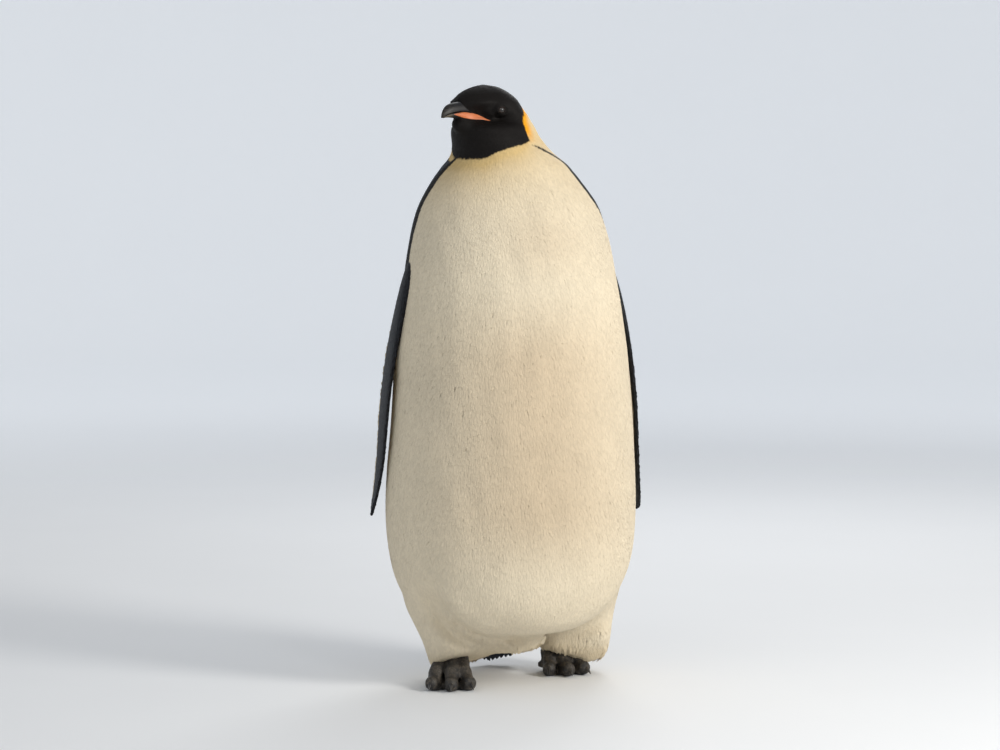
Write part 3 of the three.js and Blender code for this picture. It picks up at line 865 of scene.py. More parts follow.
def head_markings(points):
    """The black hood, and the glow of the ear patch behind it."""
    head = to_head(points)
    bearing = head_bearing(head)
    radius = np.hypot(head[:, 0], head[:, 1])
    margin = np.interp(bearing, *zip(*HOOD_MARGIN))
    rear = np.interp(head[:, 2], *zip(*HOOD_REAR))
    above = head[:, 2] - margin
    ahead = np.radians(rear - bearing) * radius
    hood = smoothstep(np.minimum(above, ahead), -0.8, 0.8)
    behind = np.maximum(-ahead, 0)
    glow = fade(behind, 3, 25) * smoothstep(head[:, 2], -64, -36)
    ear = glow * (bearing > 60) * fade(head[:, 2], 20, 30)
    below = np.maximum(-above, 0)
    gold = 0.95 * np.exp(-below / 28) * (1 - 0.6 * smoothstep(bearing, 85, 120))
    gold += 0.4 * np.exp(-below / 100)
    gold = np.maximum(gold, 0.35 * np.exp(-behind / 30) * smoothstep(head[:, 2], -110, -60))
    return hood, ear, gold


def trunk_markings(points):
    """The black shoulder band and the slate back behind it."""
    height = points[:, 2] / MM
    left, radius = chest_bearing(points)
    rows = dict(zip(BAND_KEYS, by_height(SHOULDER_BAND, height)))
    band = np.zeros(len(points))
    back = np.ones(len(points))
    for side, bearing in (("left", left), ("right", 360 - left)):
        past = np.radians(bearing - rows[side]) * radius
        width = rows[f"{side}_width"]
        inside = smoothstep(past, -0.8, 0.8) * fade(past, width - 1.5, width + 1.5)
        band = np.maximum(band, inside * (width > 0.5))
        edge = np.radians(bearing - rows[f"{side}_back"]) * radius
        back *= smoothstep(edge, -1.0, 1.0)
    return band, back


def edge_distances(points):
    """How far points are from the flipper's leading and trailing edges, in mm."""
    leading, trailing = np.empty(len(points)), np.empty(len(points))
    for side, sign in SIDES.items():
        corners = node_corners(f"flipper_{side}")
        levels = np.unique(np.round(corners[:, 2], 4))
        near = [corners[np.abs(corners[:, 2] - z) < 4 * MM, 1] for z in levels]
        own = points[:, 0] * sign > 0
        y, z = points[own, 1], points[own, 2]
        leading[own] = (y - np.interp(z, levels, [row.min() for row in near])) / MM
        trailing[own] = (np.interp(z, levels, [row.max() for row in near]) - y) / MM
    return leading, trailing


def tail_share(points):
    """1 on the tail, 0 off it."""
    low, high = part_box("tail")
    beside = np.abs(points[:, 0] - (low.x + high.x) / 2) < (high.x - low.x) / 2 + 4 * MM
    behind = smoothstep(points[:, 1], low.y - 4 * MM, low.y + 6 * MM)
    return beside * (points[:, 2] < high.z + 4 * MM) * behind


def markings(points, normals, kind):
    """Shares of black, slate, ear gold, pale gold, and tan with painted shade at points on a kind of
    surface.
    """
    height = points[:, 2] / MM
    hood, ear, gold = head_markings(points)
    band, back = trunk_markings(points)
    tail = tail_share(points)
    # The pale belly runs on under the tail and over the loose skin between the legs.
    vent = fade(height, 120, 165) * smoothstep(-normals[:, 1], -0.35, -0.05)
    vent = np.maximum(vent, fade(height, 80, 92)) * (1 - tail)
    back = back * (1 - vent)
    nape = back * smoothstep(height, 905, 960)
    low_tail = 0.6 * tail * fade(height, 90, 120)
    black = np.maximum.reduce([hood, band * (1 - vent), nape, low_tail])
    slate = np.maximum(back, tail)
    gold = np.clip(gold * smoothstep(height, 760, 900), 0, 1)
    gold = np.maximum(gold, 0.28 * fade(height, 30, 66))
    bearing = bearing_either_side(points)
    # Tan down the belly's middle: partly the plumage's own tone, partly painted shade. The tan below the
    # hood is the upper breast's own tinge.
    tan_and_shade = hill(bearing, 4, 46) * smoothstep(height, 170, 330) * fade(height, 560, 720)
    tan_and_shade = np.maximum(tan_and_shade, 0.5 * hill(bearing, 14, 30) * hill(height, 775, 55))
    if kind == "flipper":
        sign = np.where(points[:, 0] > AXIS.x, 1, -1)
        outer = smoothstep(normals[:, 0] * sign, -0.4, -0.15)
        leading, trailing = edge_distances(points)
        slate = np.maximum(outer, fade(leading, 13, 15)) * smoothstep(trailing, 4.5, 6.5)
        slate = np.maximum(slate, fade(height, 318, 324))
        black = 0.6 * slate
        ear = gold = tan_and_shade = np.zeros(len(points))
    if kind == "tail":
        black = np.full(len(points), 0.5)
        slate = np.ones(len(points))
    return {"black": black, "slate": slate, "ear": ear, "gold": gold, "tan_and_shade": tan_and_shade}


# ---- Node helpers ----


def add_node(tree, kind, inputs=None, **settings):
    made = tree.nodes.new(kind)
    for name, value in settings.items():
        setattr(made, name, value)
    for socket, source in (inputs or {}).items():
        if isinstance(source, bpy.types.NodeSocket):
            tree.links.new(source, made.inputs[socket])
        else:
            made.inputs[socket].default_value = source
    return made


def calculate(tree, operation, *values):
    inputs = dict(enumerate(values))
    return add_node(tree, "ShaderNodeMath", inputs, operation=operation).outputs[0]


def mix_colors(tree, share, first, second, how="MIX"):
    inputs = {0: share, 6: first, 7: second}
    return add_node(tree, "ShaderNodeMix", inputs, data_type="RGBA", blend_type=how).outputs[2]


def remap(tree, value, low, high, to_low=0.0, to_high=1.0):
    inputs = {0: value, 1: low, 2: high, 3: to_low, 4: to_high}
    node = add_node(tree, "ShaderNodeMapRange", inputs, interpolation_type="SMOOTHSTEP")
    return node.outputs[0]


def value_of(tree, name):
    return add_node(tree, "ShaderNodeAttribute", attribute_name=name).outputs["Fac"]


def noise(tree, place, scale, detail=2.0):
    inputs = {"Vector": place, "Scale": scale, "Detail": detail}
    return add_node(tree, "ShaderNodeTexNoise", inputs).outputs["Fac"]


def own_place(tree):
    return add_node(tree, "ShaderNodeTexCoord").outputs["Object"]


SOCKETS = {"color": "NodeSocketColor", "value": "NodeSocketFloat", "vector": "NodeSocketVector"}


def new_group(name, inputs, outputs):
    """A shader node group with named sockets; inputs give a kind and a default."""
    group = bpy.data.node_groups.new(name, "ShaderNodeTree")
    for label, (kind, default) in inputs.items():
        socket = group.interface.new_socket(label, in_out="INPUT", socket_type=SOCKETS[kind])
        socket.default_value = default
    for label, kind in outputs.items():
        group.interface.new_socket(label, in_out="OUTPUT", socket_type=SOCKETS[kind])
    return group, group.nodes.new("NodeGroupInput"), group.nodes.new("NodeGroupOutput")


def color(red, green, blue):
    return (red, green, blue, 1.0)


# ---- Colours and shader groups ----

CREAM = color(0.77, 0.67, 0.50)
# Tan of the belly's middle, partly painted shade there, and of the upper breast.
TAN_AND_SHADE = color(0.63, 0.51, 0.355)
PALE_GOLD = color(0.66, 0.475, 0.215)
EAR_GOLD = color(0.85, 0.37, 0.012)
HOOD_BLACK = color(0.0065, 0.0052, 0.0045)
SLATE_DEEP = color(0.022, 0.025, 0.031)
SLATE_PALE = color(0.047, 0.055, 0.070)
WORN_HORN = color(0.085, 0.072, 0.055)
PUPIL_BLACK = color(0.002, 0.002, 0.002)
MATTE = 0.12  # specular level of feathers


def markings_group():
    """Colour of the plumage from its marking values, the same on the skin and the coat."""
    inputs = {"Shade": ("value", 0.5), "Along": ("value", 0.6)}
    group, given, result = new_group("plumage markings", inputs, {"Color": "color", "Dark": "value"})
    shade, along = given.outputs["Shade"], given.outputs["Along"]
    tone = remap(group, noise(group, own_place(group), 9.0), 0.3, 0.7, 0.94, 1.0)
    lighter = remap(group, shade, 0.0, 1.0, 0.95, 1.03)
    pale = CREAM
    # The tan mixed in here carries painted shade down the belly's middle.
    for marking, tint in (("tan_and_shade", TAN_AND_SHADE), ("gold", PALE_GOLD), ("ear", EAR_GOLD)):
        pale = mix_colors(group, value_of(group, marking), pale, tint)
    level = calculate(group, "MULTIPLY", tone, lighter)
    gray = add_node(group, "ShaderNodeCombineColor", {0: level, 1: level, 2: level}).outputs[0]
    pale = mix_colors(group, 1.0, pale, gray, "MULTIPLY")
    tip = remap(group, along, 0.45, 0.95)
    tip = calculate(group, "MULTIPLY", tip, remap(group, shade, 0.0, 1.0, 0.55, 1.0))
    slate = mix_colors(group, tip, SLATE_DEEP, SLATE_PALE)
    mixed = mix_colors(group, value_of(group, "slate"), pale, slate)
    black = value_of(group, "black")
    mixed = mix_colors(group, black, mixed, HOOD_BLACK)
    group.links.new(mixed, result.inputs["Color"])
    dark = calculate(group, "MAXIMUM", value_of(group, "slate"), black)
    group.links.new(dark, result.inputs["Dark"])
    return group


def barbs_group():
    """Fine slanted ridges on each side of a vane's shaft, as a height."""
    inputs = {"Ridges": ("value", 16.0), "Slant": ("value", 9.0)}
    group, given, result = new_group("feather barbs", inputs, {"Height": "value"})
    place = add_node(group, "ShaderNodeUVMap", uv_map="Vane").outputs[0]
    parts = add_node(group, "ShaderNodeSeparateXYZ", {0: place})
    out = calculate(group, "ABSOLUTE", calculate(group, "SUBTRACT", parts.outputs[0], 0.5))
    slant = calculate(group, "MULTIPLY", out, given.outputs["Slant"])
    turns = calculate(group, "MULTIPLY", parts.outputs[1], given.outputs["Ridges"])
    phase = calculate(group, "MULTIPLY", calculate(group, "SUBTRACT", turns, slant), 2 * math.pi)
    ridges = calculate(group, "SINE", phase)
    shaft = remap(group, out, 0.0, 0.09, 2.0, 0.0)
    group.links.new(calculate(group, "ADD", ridges, shaft), result.inputs["Height"])
    return group


def growth_group():
    """Fine growth lines and worn patches of horn: a mask and a height."""
    inputs = {"Vector": ("vector", (0, 0, 0)), "Scale": ("value", 300.0)}
    group, given, result = new_group("horn growth", inputs, {"Wear": "value", "Height": "value"})
    place, scale = given.outputs["Vector"], given.outputs["Scale"]
    broad = noise(group, place, calculate(group, "DIVIDE", scale, 5.0), 3.0)
    group.links.new(remap(group, broad, 0.4, 0.7), result.inputs["Wear"])
    group.links.new(noise(group, place, scale, 4.0), result.inputs["Height"])
    return group


MARKINGS = markings_group()
BARBS = barbs_group()
GROWTH = growth_group()


def principled(name, roughness, settings=None):
    """A material, its tree, and its shader with values set on the shader's own sockets."""
    material = bpy.data.materials.new(name)
    material.use_nodes = True
    shader = material.node_tree.nodes["Principled BSDF"]
    for socket, value in {"Roughness": roughness, **(settings or {})}.items():
        shader.inputs[socket].default_value = value
    return material, material.node_tree, shader


def surfaced(tree, shader, tint, height=None, strength=0.0, distance=0.0):
    """Feeds a shader its colour, and a bump from a height."""
    tree.links.new(tint, shader.inputs["Base Color"])
    if height is not None:
        inputs = {"Height": height, "Strength": strength, "Distance": distance}
        bump = add_node(tree, "ShaderNodeBump", inputs)
        tree.links.new(bump.outputs["Normal"], shader.inputs["Normal"])


def use_group(tree, group, inputs=None):
    return add_node(tree, "ShaderNodeGroup", inputs, node_tree=group).outputs


def plumage_material(name, roughness, sheen, barb_strength, ridges):
    settings = {"Sheen Weight": sheen, "Sheen Roughness": 0.4, "Specular IOR Level": MATTE}
    material, tree, shader = principled(name, roughness, settings)
    inputs = {"Shade": value_of(tree, "shade"), "Along": value_of(tree, "along")}
    paint = use_group(tree, MARKINGS, inputs)
    barbs = use_group(tree, BARBS, {"Ridges": ridges})
    surfaced(tree, shader, paint["Color"], barbs["Height"], barb_strength, 0.0001)
    return material


def skin_material():
    material, tree, shader = principled("feathered skin", 0.7, {"Specular IOR Level": MATTE})
    down = noise(tree, own_place(tree), 700.0, 3.0)
    surfaced(tree, shader, use_group(tree, MARKINGS)["Color"], down, 0.5, 0.0008)
    return material


def foot_material():
    material, tree, shader = principled("scaly foot", 0.6)
    place = own_place(tree)
    cells = add_node(tree, "ShaderNodeTexVoronoi", {"Vector": place, "Scale": 420.0})
    seams = remap(tree, cells.outputs["Distance"], 0.1, 0.7, 1.0, 0.35)
    blotches = remap(tree, noise(tree, place, 55.0, 4.0), 0.35, 0.65)
    tint = mix_colors(tree, blotches, color(0.020, 0.017, 0.015), color(0.085, 0.070, 0.053))
    dust = remap(tree, noise(tree, place, 160.0, 3.0), 0.55, 0.75)
    dusty = mix_colors(tree, dust, tint, color(0.19, 0.155, 0.115))
    shaded = mix_colors(tree, seams, color(0.01, 0.009, 0.008), dusty)
    surfaced(tree, shader, shaded, seams, 0.6, 0.0008)
    return material


def lid_material():
    material, tree, shader = principled("eyelid", 0.55, {"Specular IOR Level": MATTE})
    cells = noise(tree, own_place(tree), 900.0, 3.0)
    tint = mix_colors(tree, cells, color(0.004, 0.0035, 0.003), color(0.016, 0.012, 0.010))
    surfaced(tree, shader, tint, cells, 0.4, 0.0005)
    return material


def claw_material():
    coat = {"Coat Weight": 0.25, "Coat Roughness": 0.25}
    material, tree, shader = principled("claw horn", 0.38, coat)
    growth = use_group(tree, GROWTH, {"Vector": own_place(tree), "Scale": 300.0})
    tint = mix_colors(tree, growth["Wear"], color(0.012, 0.011, 0.011), color(0.05, 0.043, 0.037))
    surfaced(tree, shader, tint, growth["Height"], 0.25, 0.0004)
    return material


def bill_material(name, base, far, value_name, low, high, roughness):
    """Horn that turns from one colour to another as a value on its mesh rises."""
    coat = {"Specular IOR Level": 0.25, "Coat Weight": 0.08, "Coat Roughness": 0.3}
    material, tree, shader = principled(name, roughness, coat)
    ahead = calculate(tree, "MULTIPLY", value_of(tree, "forward"), 0.00022)
    up = calculate(tree, "MULTIPLY", value_of(tree, "height"), 0.002)
    lengthways = add_node(tree, "ShaderNodeCombineXYZ", {0: ahead, 1: up}).outputs[0]
    growth = use_group(tree, GROWTH, {"Vector": lengthways, "Scale": 650.0})
    share = remap(tree, value_of(tree, value_name), low, high)
    worn = mix_colors(tree, growth["Wear"], base, color(*(0.8 * part for part in base[:3])))
    tint = mix_colors(tree, share, worn, far)
    scratches = remap(tree, growth["Height"], 0.5, 0.66, 0.0, 0.8)
    at_tip = remap(tree, value_of(tree, "forward"), 74.0, 104.0)
    tint = mix_colors(tree, calculate(tree, "MULTIPLY", scratches, at_tip), tint, WORN_HORN)
    surfaced(tree, shader, tint, growth["Height"], 0.35, 0.0005)
    return material


def eye_material():
    """Black pupil in a dark brown iris, under a wet surface."""
    wet = {"Specular IOR Level": 0.05, "Coat Weight": 1.0, "Coat Roughness": 0.03, "Coat IOR": 1.5}
    material, tree, shader = principled("wet eye", 0.25, wet)
    out = value_of(tree, "from_pupil")
    streaks = noise(tree, own_place(tree), 1500.0, 3.0)
    iris = mix_colors(tree, streaks, color(0.007, 0.004, 0.002), color(0.030, 0.014, 0.007))
    ringed = mix_colors(tree, remap(tree, out, 5.0, 6.3), iris, color(0.006, 0.005, 0.005))
    surfaced(tree, shader, mix_colors(tree, remap(tree, out, 2.9, 3.4), PUPIL_BLACK, ringed))
    return material


PLUMAGE = plumage_material("plumage", 0.58, 0.0, 0.35, 16.0)
PLUMAGE_DARK = plumage_material("hood plumage", 0.6, 0.0, 0.3, 8.0)
PLUMAGE_TIGHT = plumage_material("flipper plumage", 0.5, 0.02, 0.3, 8.0)


# ---- Bill, in the head's own millimetres: forward, left, up ----

JAW_ROOT, BILL_TIP, LOWER_TIP = 32, 109, 105
MOUTH_GAP = 0.5  # mm between the jaws
GROOVE = 0.055  # depth of the groove along each side of the upper jaw, as a share of its width


def jaw(upper):
    """Rings of one jaw, flat along the mouth and rounded away from it."""
    rows, columns = 64, 48
    reach = BILL_TIP if upper else LOWER_TIP
    share = np.linspace(0, 1, rows)
    forward = JAW_ROOT + (reach - JAW_ROOT) * (1 - (1 - share) ** 1.25)
    culmen, mouth, keel, half = through(BILL, forward).T
    low, high = (mouth, culmen) if upper else (keel, mouth)
    low, high = low + MOUTH_GAP / 2, high - MOUTH_GAP / 2
    seat = (high - low) * 0.14
    base = low + seat if upper else high - seat
    end = np.sqrt(np.clip((1 - share) / 0.012, 0, 1))
    side, rise = np.cos(around(columns)), np.sin(around(columns))
    flat = rise < 0 if upper else rise > 0
    flat_edge, round_edge = (low, high) if upper else (high, low)
    edge = np.where(flat[None], flat_edge[:, None], round_edge[:, None])
    shape = np.abs(rise) ** np.where(flat, 0.6, 0.85)
    width = half * (1 if upper else 0.92) * (0.72 + 0.28 * smoothstep(forward, JAW_ROOT, 52))
    groove = 1 - GROOVE * hill(np.abs(side), 0.62, 0.16) * (rise > 0) * upper
    out = signed_power(side, 0.8) * groove * (width * end)[:, None]
    up = base[:, None] + (edge - base[:, None]) * shape * end[:, None]
    return np.stack([np.broadcast_to(forward[:, None], out.shape), out, up], -1)


PLATE_ROOT, PLATE_END = 15, 90


def plate_outline(forward):
    """Middle height and half height of the coloured plate, and how full it is."""
    share = np.clip((forward - PLATE_ROOT) / (PLATE_END - PLATE_ROOT), 0.002, 0.998)
    _, mouth, keel, _ = through(BILL, forward).T
    swell = np.sin(math.pi * share**0.85) ** 0.7
    deep = (mouth - keel) / 2 - 0.3
    return mouth - 0.3 - deep * (0.35 + 0.65 * swell), deep * 0.94 * swell, swell


def evened(values):
    """A running mean of nine values."""
    return np.convolve(np.pad(values, 4, "edge"), np.ones(9) / 9, "valid")


def plate(sign, skin_tree):
    """A lens along the mouth line that lies on the face where the face is wider than the bill."""
    rows, columns = 80, 24
    forward = np.linspace(PLATE_ROOT + 0.2, PLATE_END - 0.2, rows)
    half = through(BILL, forward)[:, 3]
    middle, tall, swell = plate_outline(forward)
    angle = around(columns) * sign
    up = middle[:, None] + np.sin(angle) * tall[:, None]
    face = np.array([[face_width(skin_tree, sign, u, w) for w in row] for u, row in zip(forward, up)])
    bed = np.maximum((half * 0.92 - 0.55)[:, None], face - 0.9)
    bed = np.apply_along_axis(evened, 0, bed)
    out = bed + np.cos(angle) * (2.2 * swell)[:, None]
    return np.stack([np.broadcast_to(forward[:, None], out.shape), sign * out, up], -1)


def face_width(skin_tree, sign, forward, up):
    """How far out the skin is at a place on the side of the face."""
    start, inward = Vector(from_head([forward, sign * 70, up])), HEAD_LEFT * -sign
    hit = skin_tree.ray_cast(start, inward, 0.07)[0]
    return 0.0 if hit is None else abs(to_head(np.array(hit))[1])


def head_piece(name, rings):
    """A closed piece from rings in the head's frame, with how far forward each point is."""
    piece = mesh_object(name, *closed(from_head(rings)))
    places = to_head(np.array([v.co for v in piece.data.vertices]))
    put_values(piece, "forward", places[:, 0])
    put_values(piece, "height", places[:, 2])
    return piece


# Each horn of the bill: colour at the low end and at the high end of a value on the mesh, the
# value and its two ends in mm, and roughness.
BILL_HORNS = {
    # The upper jaw turns lighter and bluer towards its top: a painted reflection of sky along the
    # culmen, over black horn.
    "upper bill horn": (
        color(0.008, 0.007, 0.007), color(0.016, 0.017, 0.020), "height", 2, 12, 0.5
    ),
    "lower bill horn": (
        color(0.014, 0.013, 0.012), color(0.085, 0.068, 0.048), "forward", 84, 94, 0.45
    ),
    "coral plate horn": (
        color(0.60, 0.175, 0.062), color(0.40, 0.115, 0.05), "forward", 66, 90, 0.42
    ),
}


def make_bill(skin_tree):
    """Both jaws and the two coloured plates along the lower one."""
    horns = {name: bill_material(name, *look) for name, look in BILL_HORNS.items()}
    for name in ("upper", "lower"):
        piece = head_piece(f"horn_{name}_jaw", jaw(name == "upper"))
        finished(piece, horns[f"{name} bill horn"], "black_horn", f"bill_{name}")
    for name, sign in SIDES.items():
        piece = head_piece(f"horn_plate_{name}", plate(sign, skin_tree))
        finished(piece, horns["coral plate horn"], "coral_horn", f"bill_plate_{name}")


# ---- Eyes ----


EYE_ROWS, EYE_COLUMNS = 40, 48
BEHIND = 20  # mm from the pupil, given to the whole back of the eyeball


def make_eyes():
    """Each eyeball, with a clear bulge over the iris, its pupil facing out of the head."""
    wet = eye_material()
    polar = np.linspace(0.02, math.pi - 0.02, EYE_ROWS)[::-1]
    radius = EYE_RADIUS / MM * (1 + 0.035 * hill(polar, 0, 0.55))
    ring, height = radius * np.sin(polar), radius * np.cos(polar)
    angle = around(EYE_COLUMNS)
    from_pupil = np.repeat(np.where(height > 0, ring, BEHIND), EYE_COLUMNS)
    for name, sign in SIDES.items():
        out, ahead = eye_axis(sign)
        local = (
            (ring[:, None] * np.cos(angle) * sign)[..., None] * ahead
            + (ring[:, None] * -np.sin(angle))[..., None] * np.array(UP)
            + height[:, None, None] * out
        )
        piece = mesh_object(f"eyeball_{name}", *closed(np.array(EYES[name]) + local * MM))
        put_values(piece, "from_pupil", np.concatenate([from_pupil, [BEHIND, ring[-1]]]))
        finished(piece, wet, "wet_eye", f"eye_{name}")


# ---- Claws ----

CLAW_COLUMNS, CLAW_ROWS = 20, 26
CLAW_RADIUS = 5.4 * MM
CLAW_SHORTER = 0.78  # the worn tip stops short of the CAD claw's point
CLAW_CLEARANCE = 0.6 * MM  # above the floor


def claw_rings(side, toe):
    """A claw that curves down to its tip, at the place of the CAD claw."""
    root, flat, tip = claw_line(side, toe)
    length = (tip - root) @ flat * CLAW_SHORTER
    out = np.array([-flat[1], flat[0], 0])
    share = np.linspace(0, 1, CLAW_ROWS) ** 0.9
    radius = CLAW_RADIUS * ((1 - share**1.6) * 0.95 + 0.05)
    drop = (root[2] - tip[2]) * share**1.8
    angle = around(CLAW_COLUMNS)[:, None]
    middle = root + share[:, None] * length * flat - drop[:, None] * np.array(UP)
    ridge = 1 + 0.06 * np.cos(2 * angle)
    ring = np.cos(angle) * out * 0.82 + np.sin(angle) * ridge * np.array(UP)
    rings = middle[:, None] - ring * radius[:, None, None]
    rings[..., 2] = np.maximum(rings[..., 2], CLAW_CLEARANCE)
    return rings


def make_claws():
    horn = claw_material()
    for side in SIDES:
        for toe in TOES:
            node = f"claw_{side}_{toe}"
            piece = mesh_object(f"horn_{node}", *closed(claw_rings(side, toe)))
            finished(piece, horn, "black_horn", node)


# ---- Feather vanes ----

PATCH = 0.003  # side of each feather's patch on the OFBake map
LONG_VANE = [(0.0, 0.0), (0.3, 0.85), (0.68, 1.0), (0.88, 0.6), (1.0, 0.0)]
SHORT_VANE = [(0.0, 0.0), (0.38, 1.0), (0.82, 0.72), (1.0, 0.0)]


def vane_faces(inner):
    """Triangles and quads of one vane with this many inner stations: ridged above, flat below."""
    triangles = [(0, 2, 1), (0, 3, 2), (0, 1, 3)]
    quads = []
    for a in range(1, 3 * inner - 2, 3):
        b = a + 3
        quads += [(a, a + 1, b + 1, b), (a + 1, a + 2, b + 2, b + 1), (a + 2, a, b, b + 2)]
    last, tip = 3 * inner - 2, 3 * inner + 1
    triangles += [(last, last + 1, tip), (last + 1, last + 2, tip), (last + 2, last, tip)]
    return np.array(triangles), np.array(quads)


class Feathers:
    """Roots of a set of feathers with the values that shape each one."""

    def __init__(self, **columns):
        self.__dict__.update(columns)
        self.count = len(self.root)

    def where(self, chosen):
        columns = {k: v[chosen] for k, v in self.__dict__.items() if isinstance(v, np.ndarray)}
        return Feathers(**columns)


RISE_POWER = 0.4  # vanes leave the skin steeply and then lie flat along the coat
CAMBER = 0.16  # how far a vane's edges droop, as a share of its half width
LOWEST_TIP = 0.0015  # the coat stays this far above the floor
SHARP = math.radians(70)  # edges bent further than this are shaded sharp


def vane_points(feathers, stations):
    """Points of every vane: root, then left edge, ridge and right edge at each station, tip."""
    f = feathers
    points, places = [], []
    forward = unit(f.end - f.root)
    for share, width in stations:
        early = np.clip(share * 2, 0, 1)
        third = np.clip(share * 2 - 1, 0, 1)
        first, second = 1 - early, early - third
        middle = f.root * first + f.halfway * second + f.end * third
        up = unit(f.root_up * first + f.halfway_up * second + f.end_up * third)
        aside = unit(np.cross(up, forward))
        aside = unit(aside + up * f.roll[:, None])
        up = unit(np.cross(forward, aside))
        middle = middle + up * (f.low + (f.high - f.low) * share**RISE_POWER)[:, None]
        half = (f.width * width / 2)[:, None]
        droop = up * (half * CAMBER)
        if width == 0:
            points.append(middle)
            places.append((0.5, share))
        else:
            points += [middle + aside * half - droop, middle, middle - aside * half - droop]
            places += [(0.5 - width / 2, share), (0.5, share), (0.5 + width / 2, share)]
    return np.stack(points, 1), np.array(places)


def feather_piece(name, feathers, stations, spot, kind="body"):
    """One mesh of many vanes with their shading maps; spot is each root's place on the unwrap."""
    points, places = vane_points(feathers, stations)
    count, each = points.shape[:2]
    points[..., 2] = np.maximum(points[..., 2], LOWEST_TIP)
    first = (np.arange(count) * each)[:, None, None]
    parts = vane_faces(len(stations) - 2)
    faces = [(first + part[None]).reshape(-1, part.shape[1]) for part in parts]
    piece = mesh_object(name, points.reshape(-1, 3), faces)
    mesh = piece.data
    mesh.set_sharp_from_angle(angle=SHARP)
    corner = np.empty(len(mesh.loops), np.int32)
    mesh.loops.foreach_get("vertex_index", corner)
    whose, which = corner // each, corner % each
    patches = spot[whose] + (places[which] - 0.5) * PATCH
    for layer, uv in (("OFBake", patches), ("Vane", places[which])):
        mesh.uv_layers.new(name=layer).data.foreach_set("uv", uv.ravel().astype(np.float32))
    put_values(piece, "along", np.tile(places[:, 1], count))
    put_values(piece, "shade", np.repeat(feathers.shade, each))
    ragged = np.repeat(feathers.ragged, each)[:, None] * np.array(UP)
    shares = markings(points.reshape(-1, 3) + ragged, np.repeat(feathers.root_up, each, 0), kind)
    for marking, share in shares.items():
        put_values(piece, marking, share)
    return piece


CANDIDATES = 8  # tries for each place that a feather might take
# How much further apart vanes are along the coat than across it, by height in metres.
STRETCH = [[0.0, 1.3], [0.06, 1.7], [0.16, 2.1], [0.84, 2.1], [0.92, 1.5], [0.96, 1.15], [1.1, 1.15]]
FLIPPER_STRETCH = 1.7


def stretch_at(height, kind):
    """How much further apart vanes are lengthways at each height."""
    if kind == "flipper":
        return np.full(np.shape(height), FLIPPER_STRETCH)
    return np.interp(height, *zip(*STRETCH))


def squeezed(points, kind):
    """The points in a space squeezed upright, in which vanes are equally far apart each way."""
    levels = np.linspace(-0.01, 1.1, 800)
    step = levels[1] - levels[0]
    total = np.cumsum(step / stretch_at(levels, kind))
    return np.stack([points[:, 0], points[:, 1], np.interp(points[:, 2], levels, total)], 1)


def scatter(surface, spacing, wanted, kind, rng):
    """Roots over some faces of a surface, no two nearer than the spacing there."""
    triangles = surface.all_triangles()
    triangles = triangles[wanted[triangles].all(1)]
    a, b, c = (squeezed(surface.vertices, kind)[triangles[:, k]] for k in range(3))
    area = np.linalg.norm(np.cross(b - a, c - a), axis=1) / 2
    near = spacing[triangles].mean(1)
    share = np.cumsum(area / near**2)
    tries = int(share[-1] * CANDIDATES)
    face = np.searchsorted(share, rng.random(tries) * share[-1])
    u, v = rng.random((2, tries))
    flip = u + v > 1
    u, v = np.where(flip, 1 - u, u), np.where(flip, 1 - v, v)
    weights = np.stack([1 - u - v, u, v], 1)
    corners = triangles[face]
    points = np.einsum("nk,nkx->nx", weights, surface.vertices[corners])
    places = squeezed(points, kind)
    tree = KDTree(tries)
    for i, place in enumerate(places):
        tree.insert(place, i)
    tree.balance()
    free = np.ones(tries, bool)
    kept = []
    gap = near[face]
    for i in range(tries):
        if free[i]:
            kept.append(i)
            for _, other, _ in tree.find_range(places[i], gap[i]):
                free[other] = False
    kept = np.array(kept)
    return points[kept], corners[kept], weights[kept]


LIE_ON_BODY, LIE_ON_FLIPPER = (0.0, 0.22, -1.0), (0.0, 0.12, -1.0)
LIE_FROM = (82, 0, -6)  # feathers of the head point away from this place in the bill


def lie_of_coat(points, kind):
    """The way feathers point at each place, before it is laid along the skin."""
    if kind == "flipper":
        return np.tile(LIE_ON_FLIPPER, (len(points), 1))
    down = np.tile(LIE_ON_BODY, (len(points), 1))
    back = unit(points - from_head(LIE_FROM))
    share = smoothstep(points[:, 2], 0.925, 0.975)[:, None]
    return unit(back * share + down * (1 - share))


def followed(tree, smooth_up, points):
    """The nearest place on the skin to each point, and the skin's normal there."""
    places, ups = np.empty_like(points), np.empty_like(points)
    for i, point in enumerate(points):
        place, _, face, _ = tree.find_nearest(point)
        places[i] = place
        ups[i] = smooth_up[face]
    return places, ups


LENGTH_TO_SPACING = 3.2
WIDTH_TO_SPACING = 2.3
HANG_DROP = 2 * MM  # how far the tip of a loose feather hangs down


